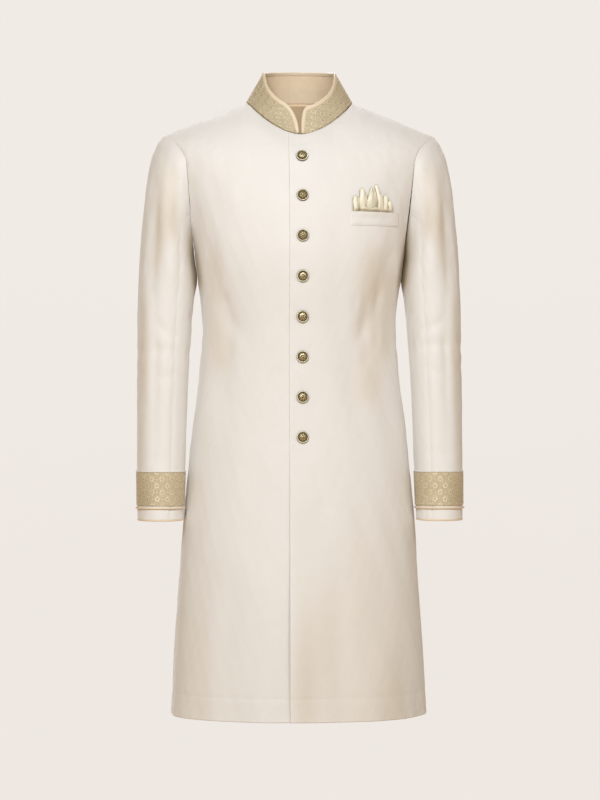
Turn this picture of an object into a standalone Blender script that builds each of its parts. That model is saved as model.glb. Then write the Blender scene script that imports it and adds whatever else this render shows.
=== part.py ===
"""Sherwani coat: a long coat with a stand collar and a lapped, buttoned front.

It keeps the hollow form it has when it is worn. Metres, +Z up; the front
faces -Y and the wearer's left is +X. The origin lies midway between the two
points where the shoulder seams meet the collar: the wearer's shoulders hold
the coat up there.
"""

import functools
import math
from collections import namedtuple

import bmesh
import bpy
from mathutils import Vector

# ---------------------------------------------------------------- sizes
CLOTH = 0.0020            # the body cloth with its interlining and lining
TRIM = 0.0012             # brocade and satin laid on or inside the body cloth
GAP = 0.0003              # between two pieces that are sewn or laid together

YOKE_HEIGHT = -0.105      # the armhole is upright here; the shoulder curves in above
UNDERARM_HEIGHT = -0.235
HEM_HEIGHT = -0.992
OVERLAP = 0.020           # each front runs this far past the centre line
LAP_BLEND = 0.045         # width over which the left front eases back to the body

NECK_HALF_WIDTH = 0.087
NECK_FRONT = 0.078        # neck seam in front of and behind the shoulder line
NECK_BACK = 0.062
NECK_FRONT_DROP = 0.0575
NECK_BACK_RISE = 0.004
NECK_DIP = 1.8            # exponent of the front neckline's dip
NECK_SHARE = 0.36         # share of a panel's columns that end on the neck seam
SHOULDER_TIP = Vector((0.2235, 0.004, -0.055))
ARMHOLE_REACH = {"front": 0.058, "back": 0.068}
ARMHOLE_SPREAD = 0.75     # how the armhole's points spread round the sleeve
MITRE_LEAST = 0.8         # cosine that limits how far a mitred wall reaches

# How strongly the curve from the yoke over the shoulder is drawn out where it
# leaves the yoke and where it meets the top edge: sideways towards the
# shoulder tip, in depth and in height.
YOKE_PULL = 1.3
TIP_PULL = 1.3
TIP_SHARE = 0.75          # the sideways pull starts at this share of a panel
Pull = namedtuple("Pull", "depth height")
NECK_PULL = Pull(1.1, 0.9)
SHOULDER_PULL = Pull(1.5, 0.05)

COLLAR_LEAN = {"front": 16.0, "side": 30.0, "back": 10.0}
COLLAR_SPAN = 9.0         # degrees each way over which its direction is taken
COLLAR_GAP_ANGLE = 3.0    # where the collar's front ends start, round the neck
COLLAR_ROUND_ANGLE = 24.0 # where their rounding ends
COLLAR_ROUNDING = 1.85    # exponent of the rounding
COLLAR_END_HEIGHT = 0.007
# The height of the stand at degrees round the neck, from the front to the back.
Stand = namedtuple("Stand", "angle height")
COLLAR_HEIGHTS = (
    Stand(0.0, 0.0445),
    Stand(40.0, 0.0443),
    Stand(55.0, 0.0480),
    Stand(75.0, 0.0548),
    Stand(100.0, 0.0548),
    Stand(130.0, 0.0518),
    Stand(180.0, 0.0515),
)
PIPING_RADIUS = 0.0014

CUFF_BAND_TOP = -0.600
CUFF_BAND_BOTTOM = -0.6535
CUFF_CORD_HEIGHT = -0.6560
SLEEVE_END = -0.6750

POCKET_TOP = -0.1845
POCKET_HEIGHT = 0.022
POCKET_INNER_X = 0.076
POCKET_OUTER_X = 0.156

BUTTON_COUNT = 8
BUTTON_TOP = -0.0950
BUTTON_SPACING = 0.0640
BUTTON_RADIUS = 0.0098
BUTTON_RISE = 0.0062
BUTTON_GAP = 0.0004       # between a button's flat back and the cloth
Turning = namedtuple("Turning", "radius rise")
BUTTON_PROFILE = (        # shares of the radius and of the rise, below the crown
    Turning(0.70, 0.00),
    Turning(1.00, 0.16),
    Turning(1.00, 0.34),
    Turning(0.86, 0.46),
    Turning(0.76, 0.56),
    Turning(0.42, 0.92),
)

# Body sections from the yoke to the hem. half_width is the side seam, or the
# armhole's edge above the underarm; front and back are depths at the centre;
# kept is the share of the depth that is left at BROAD of the half width.
BROAD = 0.8
POWER_RANGE = (1.2, 4.0)  # between a diamond-like section and a boxy one
Section = namedtuple("Section", "height half_width front back kept")
SECTIONS = (
    Section(YOKE_HEIGHT, 0.1840, 0.106, 0.112, 0.760),
    Section(-0.165, 0.1785, 0.124, 0.125, 0.742),
    Section(UNDERARM_HEIGHT, 0.1720, 0.131, 0.126, 0.712),
    Section(-0.272, 0.1680, 0.1305, 0.1225, 0.694),
    Section(-0.303, 0.1636, 0.1278, 0.1185, 0.675),
    Section(-0.335, 0.1594, 0.1245, 0.1145, 0.660),
    Section(-0.375, 0.1583, 0.121, 0.111, 0.650),
    Section(-0.450, 0.1635, 0.119, 0.113, 0.652),
    Section(-0.520, 0.1726, 0.122, 0.122, 0.660),
    Section(-0.600, 0.1808, 0.129, 0.133, 0.667),
    Section(-0.680, 0.1880, 0.135, 0.141, 0.672),
    Section(-0.810, 0.1970, 0.144, 0.151, 0.672),
    Section(HEM_HEIGHT, 0.2090, 0.155, 0.161, 0.672),
)

# Sleeve rings from the armhole to the wrist: the ends of each ring's long
# line in the XZ plane, where its centre lies in Y and its half depth there.
Ring = namedtuple("Ring", "place inner_x inner_z outer_x outer_z centre_y half_depth")
RINGS = (
    Ring(0.0, 0.1723, -0.2350, 0.2237, -0.0550, 0.005, 0.0630),
    Ring(1.0, 0.1728, -0.2405, 0.2395, -0.0850, 0.004, 0.0655),
    Ring(2.0, 0.1722, -0.2495, 0.2480, -0.1300, 0.003, 0.0665),
    Ring(3.0, 0.1706, -0.2640, 0.2545, -0.1850, 0.002, 0.0665),
    Ring(4.0, 0.1676, -0.2890, 0.2592, -0.2450, 0.000, 0.0650),
    Ring(5.0, 0.1716, -0.3260, 0.2620, -0.3050, -0.002, 0.0625),
    Ring(6.0, 0.1775, -0.4050, 0.2637, -0.4000, -0.008, 0.0580),
    Ring(7.0, 0.1825, -0.5050, 0.2641, -0.5000, -0.018, 0.0540),
    Ring(8.0, 0.1862, CUFF_BAND_TOP, 0.2636, CUFF_BAND_TOP, -0.030, 0.0515),
    Ring(9.0, 0.1878, CUFF_BAND_BOTTOM, 0.2630, CUFF_BAND_BOTTOM, -0.037, 0.0505),
    Ring(10.0, 0.1884, SLEEVE_END, 0.2626, SLEEVE_END, -0.040, 0.0500),
)
RING_SQUARENESS = 2.2
CAP_EASE = 2.5            # the cap leaves the armhole's own curve over so many rings

# Petals of the pocket square, from the centre front outwards.
Petal = namedtuple("Petal", "x height")
PETALS = (
    Petal(0.083, 0.019),
    Petal(0.096, 0.032),
    Petal(0.110, 0.036),
    Petal(0.125, 0.033),
    Petal(0.138, 0.020),
)
PETAL_SPREAD = 0.75       # half width of a petal, in distances between petals
SQUARE_MARGIN = 0.006     # cloth beside the first and the last petal
SQUARE_EDGE_HEIGHT = 0.012
SQUARE_STAND = 0.0008     # off the front, so that it clears the chest's curve
SQUARE_THICK = 0.0045
SQUARE_ENDS = 0.06        # how far round its puff is already cut off at the ends
SquareRow = namedtuple("SquareRow", "rise puff")
SQUARE_ROWS = (           # shares of the height and of the thickness
    SquareRow(0.0, 0.45),
    SquareRow(0.4, 1.00),
    SquareRow(0.8, 0.80),
    SquareRow(1.0, 0.30),
)

# ---------------------------------------------------------------- mesh detail
NECK_COLUMNS = 5
SHOULDER_COLUMNS = 4
YOKE_ROWS = 4
ARMHOLE_ROWS = 5
SKIRT_ROWS = 11
UNDER_SLEEVE_ROWS = 3      # armhole rows on each side of the underarm on the under sleeve
RING_ROWS = (0, 0.5, 1, 1.6, 2.3, 3, 4, 5, 6, 7, 8, 9, 10)
COLLAR_ROWS = 3
COLLAR_EXTRA_ANGLES = (5.5, 9.0, 15.0, 27.0)   # more columns at the rounded end
PIPING_END_RISES = (0.2, 0.6)            # the piping's points down that end
FACING_ROWS = 3
COLUMNS_PER_PETAL = 4
TUBE_SIDES = 6
BUTTON_SIDES = 12
SHARP_ANGLE = 40.0
HALVINGS = 30             # steps of the search for a section's exponent
SEAM_PLACE = 0.05         # where the sleeve's direction at the armhole is taken
NEAR_TURN = 0.5           # degrees each way for a sleeve's direction
EPS = 1e-4

# ---------------------------------------------------------------- materials
Finish = namedtuple("Finish", "colour roughness metallic")
FINISHES = {
    "ivory_silk": Finish((0.86, 0.80, 0.71), 0.55, 0.0),
    "gold_brocade": Finish((0.52, 0.41, 0.24), 0.50, 0.2),
    "peach_satin": Finish((0.78, 0.54, 0.34), 0.40, 0.0),
    "pale_gold_silk": Finish((0.80, 0.64, 0.38), 0.40, 0.1),
    "antique_brass": Finish((0.38, 0.29, 0.13), 0.35, 0.9),
}


def clear_scene():
    for item in list(bpy.data.objects):
        bpy.data.objects.remove(item, do_unlink=True)


def make_material(name):
    """A Principled material with the named finish."""
    finish = FINISHES[name]
    material = bpy.data.materials.get(name) or bpy.data.materials.new(name)
    material.use_nodes = True
    shader = material.node_tree.nodes["Principled BSDF"]
    shader.inputs["Base Color"].default_value = (*finish.colour, 1.0)
    shader.inputs["Roughness"].default_value = finish.roughness
    shader.inputs["Metallic"].default_value = finish.metallic
    return material


# ---------------------------------------------------------------- curves
def mix(start, end, share):
    return start + (end - start) * share


def along(table, column, key):
    """A table's column at any value of its first column, on a smooth curve."""
    keys = [row[0] for row in table]
    values = [getattr(row, column) for row in table]
    if keys[0] > keys[-1]:
        keys.reverse()
        values.reverse()
    last = len(keys) - 1
    key = min(max(key, keys[0]), keys[-1])
    at = min(max(i for i in range(last + 1) if keys[i] <= key), last - 1)

    def slope(i):
        low, high = max(i - 1, 0), min(i + 1, last)
        return (values[high] - values[low]) / (keys[high] - keys[low])

    span = keys[at + 1] - keys[at]
    return hermite(values[at], slope(at) * span, values[at + 1], slope(at + 1) * span,
                   (key - keys[at]) / span)


def hermite(start, leave, end, arrive, t):
    """A cubic from start to end that leaves and arrives with the given tangents."""
    return (start * (2 * t**3 - 3 * t**2 + 1) + leave * (t**3 - 2 * t**2 + t)
            + end * (3 * t**2 - 2 * t**3) + arrive * (t**3 - t**2))


def smooth(value):
    value = min(max(value, 0.0), 1.0)
    return value * value * (3 - 2 * value)


def sign_of(half):
    """Front panels lie at -Y and back panels at +Y."""
    return -1.0 if half == "front" else 1.0


# ---------------------------------------------------------------- body form
@functools.lru_cache(maxsize=None)
def section_shape(half, height):
    """A level section's depth, the half width it would have without the
    armhole, its exponent, and its angle at the panel's edge."""
    edge = along(SECTIONS, "half_width", height)
    depth = along(SECTIONS, half, height)
    kept = along(SECTIONS, "kept", height)
    rise = (height - UNDERARM_HEIGHT) / (YOKE_HEIGHT - UNDERARM_HEIGHT)
    rise = min(max(rise, 0.0), 1.0)
    reach = ARMHOLE_REACH[half] * math.sqrt(1 - (1 - rise) ** 2) / depth
    low, high = POWER_RANGE
    for _ in range(HALVINGS):
        power = (low + high) / 2
        if BROAD**power * (1 - reach**power) + kept**power > 1:
            low = power
        else:
            high = power
    full = edge / (1 - reach**power) ** (1 / power)
    return depth, full, power, math.asin((edge / full) ** (power / 2))


def section_point(half, share, height):
    """A point on a level section: share is 0 at the centre line and 1 at the
    panel's edge, and from 0 to -1 it crosses the overlap."""
    depth, full, power, last = section_shape(half, height)
    if share >= 0:
        angle = share * last
        x = full * math.sin(angle) ** (2 / power)
    else:
        x = share * OVERLAP
        angle = math.asin((-x / full) ** (power / 2))
    y = sign_of(half) * depth * abs(math.cos(angle)) ** (2 / power)
    return Vector((x, y, height))


def neck_point(half, angle):
    """A point on the neck seam, by the angle round it from the centre line."""
    x = NECK_HALF_WIDTH * math.sin(angle)
    if half == "front":
        y = -NECK_FRONT * math.cos(angle)
        z = -NECK_FRONT_DROP * (1 - abs(math.sin(angle)) ** NECK_DIP)
    else:
        y = NECK_BACK * math.cos(angle)
        z = NECK_BACK_RISE * math.cos(angle)
    return Vector((x, y, z))


def top_point(half, share):
    """A point on a panel's top edge: the neck seam, then the shoulder seam."""
    if share < 0:
        return neck_point(half, math.asin(share * OVERLAP / NECK_HALF_WIDTH))
    if share <= NECK_SHARE:
        return neck_point(half, math.pi / 2 * share / NECK_SHARE)
    neck = neck_point(half, math.pi / 2)
    return mix(neck, SHOULDER_TIP, (share - NECK_SHARE) / (1 - NECK_SHARE))


def body_point(half, share, place):
    """The coat's outer surface. place runs from 0 at the top edge to 1 at the
    yoke, 2 at the underarm and 3 at the hem."""
    if place >= 2:
        return section_point(half, share, mix(UNDERARM_HEIGHT, HEM_HEIGHT, place - 2))
    if place >= 1:
        turn = math.pi / 2 * (2 - place)
        rise = 1 - math.cos(turn)
        return section_point(half, share, mix(UNDERARM_HEIGHT, YOKE_HEIGHT, rise))
    low = section_point(half, share, YOKE_HEIGHT)
    under = section_point(half, share, YOKE_HEIGHT - EPS)
    top = top_point(half, share)
    across = top.y - low.y
    climb = top.z - low.z
    leave = (low - under) / EPS * climb * YOKE_PULL
    on_neck = math.sqrt(1 - min(abs(top.x) / NECK_HALF_WIDTH, 1) ** 2)
    on_edge = smooth((share - TIP_SHARE) / (1 - TIP_SHARE))
    arrive = Vector((TIP_PULL * (top.x - low.x) * on_edge,
                     mix(SHOULDER_PULL.depth, NECK_PULL.depth, on_neck) * across,
                     mix(SHOULDER_PULL.height, NECK_PULL.height, on_neck) * climb))
    return hermite(low, leave, top, arrive, 1 - place)


def body_normal(half, share, place):
    """The outward direction of the coat's surface; at the centre line it has
    no sideways part."""
    share_low, share_high = max(share - EPS, -1), min(share + EPS, 1)
    place_low, place_high = max(place - EPS, 0), min(place + EPS, 3)
    if place in (1, 2):
        place_low = place
    around = body_point(half, share_high, place) - body_point(half, share_low, place)
    down = body_point(half, share, place_high) - body_point(half, share, place_low)
    if share == 0:
        around = Vector((1, 0, 0))
    return (around.cross(down) * sign_of(half)).normalized()


# ---------------------------------------------------------------- sleeve form
def armhole_place(turn):
    """Where on the front's or the back's edge an angle round the sleeve lies:
    0 is the shoulder tip, 180 degrees the underarm, and the back comes after."""
    half = "front" if turn <= 180 else "back"
    share = (turn if turn <= 180 else 360 - turn) / 180
    return half, 2 * share ** ARMHOLE_SPREAD


def sleeve_turn(half, place):
    """The angle round the sleeve of a place on the armhole's edge."""
    turn = 180 * (place / 2) ** (1 / ARMHOLE_SPREAD)
    return turn if half == "front" else 360 - turn


def ring_point(turn, place):
    """A point of a sleeve ring without the armhole's own shape."""
    inner = Vector((along(RINGS, "inner_x", place), 0, along(RINGS, "inner_z", place)))
    outer = Vector((along(RINGS, "outer_x", place), 0, along(RINGS, "outer_z", place)))
    angle = math.radians(turn)
    along_line = math.copysign(abs(math.cos(angle)) ** (2 / RING_SQUARENESS), math.cos(angle))
    across = math.copysign(abs(math.sin(angle)) ** (2 / RING_SQUARENESS), math.sin(angle))
    point = (inner + outer) / 2 + (outer - inner) / 2 * along_line
    point.y = along(RINGS, "centre_y", place) - along(RINGS, "half_depth", place) * across
    return point


def sleeve_point(turn, place):
    """The left sleeve's outer surface: it leaves the armhole's edge and eases
    into the rings."""
    point = ring_point(turn, place)
    if place < CAP_EASE:
        hold = (1 - place / CAP_EASE) ** 2
        half, edge_place = armhole_place(turn % 360)
        point += (body_point(half, 1.0, edge_place) - ring_point(turn, 0)) * hold
    return point


def sleeve_normal(turn, place):
    low, high = max(place - EPS, 0), min(place + EPS, RINGS[-1].place)
    around = sleeve_point(turn + NEAR_TURN, place) - sleeve_point(turn - NEAR_TURN, place)
    down = sleeve_point(turn, high) - sleeve_point(turn, low)
    return around.cross(down).normalized()


def seam_normal(turn):
    """Halfway between the body's and the sleeve's outward directions, so that
    the two walls meet at the armhole without crossing."""
    half, place = armhole_place(turn % 360)
    both = body_normal(half, 1.0, place) + sleeve_normal(turn, SEAM_PLACE)
    return both.normalized()


# ---------------------------------------------------------------- mesh making
def make_object(name, mesh, material_name):
    mesh.materials.append(make_material(material_name))
    item = bpy.data.objects.new(name, mesh)
    bpy.context.scene.collection.objects.link(item)
    return item


def mesh_from(name, points, faces):
    """A closed mesh with its faces turned outwards."""
    shape = bmesh.new()
    corners = [shape.verts.new(point) for point in points]
    for face in faces:
        shape.faces.new([corners[i] for i in face])
    bmesh.ops.recalc_face_normals(shape, faces=shape.faces)
    mesh = bpy.data.meshes.new(name)
    shape.to_mesh(mesh)
    shape.free()
    mesh.shade_smooth()
    mesh.set_sharp_from_angle(angle=math.radians(SHARP_ANGLE))
    return mesh


def make_wall(name, outer, inner, material_name, ring=False):
    """A wall of cloth between two grids of points, closed round its rims. A
    ring's last column joins its first."""
    rows, columns = len(outer), len(outer[0])
    points = [point for grid in (outer, inner) for row in grid for point in row]
    skin = rows * columns

    def at(row, column, side):
        return side * skin + row * columns + column % columns

    faces = []
    for row in range(rows - 1):
        for column in range(columns if ring else columns - 1):
            for side in (0, 1):
                faces.append((at(row, column, side), at(row, column + 1, side),
                              at(row + 1, column + 1, side), at(row + 1, column, side)))
    for row in (0, rows - 1):
        for column in range(columns if ring else columns - 1):
            faces.append((at(row, column, 0), at(row, column + 1, 0),
                          at(row, column + 1, 1), at(row, column, 1)))
    if not ring:
        for column in (0, columns - 1):
            for row in range(rows - 1):
                faces.append((at(row, column, 0), at(row + 1, column, 0),
                              at(row + 1, column, 1), at(row, column, 1)))
    return make_object(name, mesh_from(name, points, faces), material_name)


def make_tube(name, path, radius, material_name, ring=False):
    """A round cord along a path of points."""
    count = len(path)
    side = Vector((0, 0, 1))
    points = []
    for i, centre in enumerate(path):
        before = path[(i - 1) % count] if ring or i else centre
        after = path[(i + 1) % count] if ring or i < count - 1 else centre
        ahead = (after - before).normalized()
        side = (side - ahead * side.dot(ahead)).normalized()
        other = ahead.cross(side)
        for k in range(TUBE_SIDES):
            angle = 2 * math.pi * k / TUBE_SIDES
            points.append(centre + (side * math.cos(angle) + other * math.sin(angle)) * radius)
    faces = []
    for i in range(count if ring else count - 1):
        here, there = i * TUBE_SIDES, (i + 1) % count * TUBE_SIDES
        for k in range(TUBE_SIDES):
            after = (k + 1) % TUBE_SIDES
            faces.append((here + k, here + after, there + after, there + k))
    if not ring:
        faces.append(tuple(range(TUBE_SIDES)))
        faces.append(tuple((count - 1) * TUBE_SIDES + k for k in range(TUBE_SIDES)))
    return make_object(name, mesh_from(name, points, faces), material_name)


def mirrored(grid):
    return [[Vector((-point.x, point.y, point.z)) for point in row] for row in grid]


def trimmed(grid, top=True, bottom=True, first=True, last=True):
    """A grid drawn in by half a seam's gap along the named edges."""
    result = [[point.copy() for point in row] for row in grid]

    def draw_in(edge, beside):
        return edge + (beside - edge).normalized() * GAP / 2

    for row, source in zip(result, grid):
        if first:
            row[0] = draw_in(source[0], source[1])
        if last:
            row[-1] = draw_in(source[-1], source[-2])
    for edge, beside, wanted in ((0, 1, top), (-1, -2, bottom)):
        if wanted:
            result[edge] = [draw_in(a, b) for a, b in zip(result[edge], result[beside])]
    return result


# ---------------------------------------------------------------- the body
def panel_shares():
    """Column shares of a panel from the centre line to its edge."""
    neck = [NECK_SHARE * i / NECK_COLUMNS for i in range(NECK_COLUMNS)]
    rest = [mix(NECK_SHARE, 1, i / SHOULDER_COLUMNS) for i in range(SHOULDER_COLUMNS + 1)]
    return neck + rest


def panel_places():
    """Row places of a panel from its top edge to the hem."""
    rows = [i / YOKE_ROWS for i in range(YOKE_ROWS)]
    rows += [1 + i / ARMHOLE_ROWS for i in range(ARMHOLE_ROWS)]
    rows += [2 + i / SKIRT_ROWS for i in range(SKIRT_ROWS + 1)]
    return rows


def wall_step(half, share, place):
    """The step from the outer skin to the inner one: straight down at the
    shoulder seam, so that front and back meet there, and mitred at the armhole."""
    normal = body_normal(half, share, place)
    if place == 0 and NECK_SHARE <= share < 1:
        normal = Vector((normal.x, 0, normal.z)).normalized()
    if share < 1 or place > 2:
        return -normal * CLOTH
    mitre = seam_normal(sleeve_turn(half, place))
    return -mitre * CLOTH / max(mitre.dot(normal), MITRE_LEAST)


def panel_grids(half, lapped=False):
    """The outer and inner skins of a left-hand panel. A front starts with
    three columns across the overlap; the lapped one stands out over it."""
    outer, inner = [], []
    for place in panel_places():
        columns = []
        if half == "front":
            edge = body_point(half, -1, place)
            step = wall_step(half, -1, place)
            middle = (body_point(half, 0, place), wall_step(half, 0, place))
            across = (Vector((-edge.x, edge.y, edge.z)), Vector((-step.x, step.y, step.z)))
            columns += [(edge, step), middle, across]
        else:
            columns.append((body_point(half, 0, place), wall_step(half, 0, place)))
        columns += [(body_point(half, share, place), wall_step(half, share, place))
                    for share in panel_shares()[1:]]
        if lapped:
            columns = [(point + lap_step(point.x, step), step) for point, step in columns]
        outer.append([point for point, step in columns])
        inner.append([point + step for point, step in columns])
    return outer, inner


def lap_step(x, step):
    """The level step by which the lapping front stands out over the other one,
    easing back beside the overlap."""
    stand = (CLOTH + GAP) * (1 - smooth((x - OVERLAP) / LAP_BLEND))
    normal = -step.normalized()
    level = Vector((normal.x, normal.y, 0)).normalized()
    return level * stand / level.dot(normal)


def build_body():
    """Two fronts and two backs. Returns the left front's outer skin."""
    outer, inner = (trimmed(grid, bottom=False, first=False) for grid in panel_grids("front", True))
    make_wall("front_left", outer, inner, "ivory_silk")
    left_front = outer
    outer, inner = (trimmed(grid, bottom=False, first=False) for grid in panel_grids("front"))
    make_wall("front_right", mirrored(outer), mirrored(inner), "ivory_silk")
    outer, inner = (trimmed(grid, bottom=False) for grid in panel_grids("back"))
    make_wall("back_left", outer, inner, "ivory_silk")
    make_wall("back_right", mirrored(outer), mirrored(inner), "ivory_silk")
    return left_front


# ---------------------------------------------------------------- the sleeves
def sleeve_turns(first_row, last_row):
    """Angles round the sleeve that meet the body's rows at the armhole, from
    one row to another; a negative row lies on the back."""
    places = panel_places()
    turns = []
    for row in range(first_row, last_row + 1):
        turn = sleeve_turn("front", places[abs(row)])
        turns.append(turn if row >= 0 else -turn)
    return turns


def sleeve_grids(turns):
    outer, inner = [], []
    for place in RING_ROWS:
        steps = [-(seam_normal(turn) if place == 0 else sleeve_normal(turn, place)) * CLOTH
                 for turn in turns]
        outer.append([sleeve_point(turn, place) for turn in turns])
        inner.append([point + step for point, step in zip(outer[-1], steps)])
    return outer, inner


def build_sleeves():
    underarm = YOKE_ROWS + ARMHOLE_ROWS
    seam = underarm - UNDER_SLEEVE_ROWS
    top = sleeve_turns(-seam, seam)
    under = [turn if turn >= 0 else turn + 360 for turn in
             sleeve_turns(seam, underarm) + sleeve_turns(-underarm + 1, -seam)]
    for name, turns in (("sleeve_top", top), ("sleeve_under", under)):
        outer, inner = (trimmed(grid, bottom=False) for grid in sleeve_grids(turns))
        make_wall(name + "_left", outer, inner, "ivory_silk")
        make_wall(name + "_right", mirrored(outer), mirrored(inner), "ivory_silk")
    build_cuffs(top[:-1] + under[:-1])


def build_cuffs(turns):
    """Each cuff's brocade band, the cord below it and the sleeve end's edging."""
    band_places = (8, 9)
    steps = [[sleeve_normal(turn, place) for turn in turns] for place in band_places]
    skin = [[sleeve_point(turn, place) for turn in turns] for place in band_places]
    outer = [[point + out * (GAP + TRIM) for point, out in zip(*pair)] for pair in zip(skin, steps)]
    inner = [[point + out * GAP for point, out in zip(*pair)] for pair in zip(skin, steps)]
    share = (CUFF_BAND_BOTTOM - CUFF_CORD_HEIGHT) / (CUFF_BAND_BOTTOM - SLEEVE_END)
    cord = [mix(sleeve_point(turn, 9), sleeve_point(turn, 10), share)
            + sleeve_normal(turn, 9.5) * (GAP + PIPING_RADIUS) for turn in turns]
    edging = [sleeve_point(turn, 10) - sleeve_normal(turn, 10) * CLOTH / 2
              - Vector((0, 0, GAP + PIPING_RADIUS)) for turn in turns]
    make_wall("cuff_band_left", outer, inner, "gold_brocade", ring=True)
    make_wall("cuff_band_right", mirrored(outer), mirrored(inner), "gold_brocade", ring=True)
    for name, path in (("cuff_cord", cord), ("cuff_edge", edging)):
        make_tube(name + "_left", path, PIPING_RADIUS, "peach_satin", ring=True)
        make_tube(name + "_right", mirrored([path])[0], PIPING_RADIUS, "peach_satin", ring=True)


# ---------------------------------------------------------------- the collar
def neck_stops():
    """Angles round the neck, in degrees, at which the panels' columns end."""
    lap = math.degrees(math.asin(OVERLAP / NECK_HALF_WIDTH))
    columns = [90 * i / NECK_COLUMNS for i in range(NECK_COLUMNS + 1)]
    return sorted([lap] + columns + [180 - stop for stop in columns[:-1]])


def neck_seam(angle):
    """The neck seam as the panels' edges make it, straight between columns."""
    def corner(at):
        side = math.radians(at)
        return neck_point("front", side) if at <= 90 else neck_point("back", math.pi - side)

    stops = neck_stops()
    for low, high in zip(stops, stops[1:]):
        if low <= angle <= high:
            return mix(corner(low), corner(high), (angle - low) / (high - low))
    raise ValueError("past the centre back")


def collar_frame(angle):
    """The collar's seam point, level outward direction and lean at an angle in
    degrees round the neck: 0 is the centre front, 180 the centre back."""
    ahead = (neck_seam(min(angle + COLLAR_SPAN, 180))
             - neck_seam(max(angle - COLLAR_SPAN, 0)))
    if angle + COLLAR_SPAN > 180:
        ahead = Vector((-1, 0, 0))
    out = Vector((ahead.y, -ahead.x, 0)).normalized()
    end = "front" if angle <= 90 else "back"
    lean = mix(COLLAR_LEAN[end], COLLAR_LEAN["side"], math.sin(math.radians(angle)) ** 2)
    return neck_seam(angle), out, math.radians(lean)


def collar_height(angle):
    """The stand's height, rounded away towards its front end."""
    full = along(COLLAR_HEIGHTS, "height", angle)
    turn = (angle - COLLAR_GAP_ANGLE) / (COLLAR_ROUND_ANGLE - COLLAR_GAP_ANGLE)
    if turn >= 1:
        return full
    rounded = (1 - (1 - turn) ** COLLAR_ROUNDING) ** (1 / COLLAR_ROUNDING)
    return max(full * rounded, COLLAR_END_HEIGHT)


def collar_point(angle, rise, depth):
    """A point of the left half, depth metres in from the collar's outer face."""
    seam, out, lean = collar_frame(angle)
    up = Vector((0, 0, math.cos(lean))) - out * math.sin(lean)
    return seam + up * (GAP + collar_height(angle) * rise) - out * depth / math.cos(lean)


def collar_angles():
    """Angles of the left half's columns: the panels' own, with some between
    them at the rounded end."""
    return sorted(set([COLLAR_GAP_ANGLE, *COLLAR_EXTRA_ANGLES, *neck_stops()[1:]]))


def both_halves(row_of):
    """A row of the left half joined at the centre back to its mirror image."""
    left = [row_of(angle) for angle in collar_angles()]
    right = [Vector((-point.x, point.y, point.z)) for point in reversed(left[:-1])]
    return left + right


def collar_grid(depth):
    return [both_halves(lambda angle, rise=i / COLLAR_ROWS: collar_point(angle, rise, depth))
            for i in range(COLLAR_ROWS + 1)]


def build_collar():
    lining = TRIM + GAP
    make_wall("collar", collar_grid(0), collar_grid(TRIM), "gold_brocade")
    make_wall("collar_lining", collar_grid(lining), collar_grid(lining + TRIM), "peach_satin")

    middle = (lining + TRIM) / 2
    edge = both_halves(lambda angle: collar_point(angle, 1, middle))
    ends = [collar_point(COLLAR_GAP_ANGLE, rise, middle) for rise in PIPING_END_RISES]
    mirror_ends = [Vector((-point.x, point.y, point.z)) for point in reversed(ends)]
    faces = both_halves(lambda angle: collar_frame(angle)[1])
    edge = ends + edge + mirror_ends
    faces = [faces[0]] * len(ends) + faces + [faces[-1]] * len(ends)
    path = []
    for i, (point, face) in enumerate(zip(edge, faces)):
        ahead = edge[min(i + 1, len(edge) - 1)] - edge[max(i - 1, 0)]
        out = face.cross(ahead).normalized()
        path.append(point + out * (PIPING_RADIUS + GAP))
    make_tube("collar_piping", path, PIPING_RADIUS, "peach_satin")


def build_neck_facing():
    """The satin facing that shows inside the back of the neck."""
    depth = CLOTH + GAP
    shares = [NECK_SHARE * i / NECK_COLUMNS for i in range(NECK_COLUMNS + 1)]
    outer, inner = [], []
    for place in (i / YOKE_ROWS for i in range(FACING_ROWS + 1)):
        rows = []
        for inset in (depth, depth + TRIM):
            left = [body_point("back", share, place) - body_normal("back", share, place) * inset
                    for share in shares]
            right = [Vector((-point.x, point.y, point.z)) for point in reversed(left[1:])]
            rows.append(right + left)
        outer.append(rows[0])
        inner.append(rows[1])
    make_wall("neck_facing", trimmed(outer), trimmed(inner), "peach_satin")


# ---------------------------------------------------------------- on the left front
def front_line(skin, height):
    """Where the left front's columns cross a height: each point, and the way
    its column runs down there."""
    line = []
    for column in zip(*skin):
        for above, below in zip(column, column[1:]):
            if below.z <= height <= above.z:
                share = (height - below.z) / (above.z - below.z)
                line.append((mix(below, above, share), below - above))
                break
    return line


def on_front(skin, x, height):
    """The left front's outer skin at x and height, and its outward direction."""
    line = front_line(skin, height)
    for (start, start_down), (end, end_down) in zip(line, line[1:]):
        if start.x <= x <= end.x:
            share = (x - start.x) / (end.x - start.x)
            down = mix(start_down, end_down, share)
            return mix(start, end, share), down.cross(end - start).normalized()
    raise ValueError("no cloth there")


def build_pocket(skin):
    outer, inner = [], []
    for height in (POCKET_TOP, POCKET_TOP - POCKET_HEIGHT):
        crossings = [point.x for point, down in front_line(skin, height)
                     if POCKET_INNER_X < point.x < POCKET_OUTER_X]
        laid = [on_front(skin, x, height) for x in (POCKET_INNER_X, *crossings, POCKET_OUTER_X)]
        outer.append([point + out * (GAP + TRIM) for point, out in laid])
        inner.append([point + out * GAP for point, out in laid])
    make_wall("pocket_welt", outer, inner, "ivory_silk")


def square_height(x):
    """The pocket square's outline above the pocket: a row of rounded petals."""
    best = SQUARE_EDGE_HEIGHT
    half = PETAL_SPREAD * (PETALS[1].x - PETALS[0].x)
    for petal in PETALS:
        away = min(abs(x - petal.x) / half, 1.0)
        best = max(best, petal.height * math.sqrt(1 - away**2))
    return best


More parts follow.
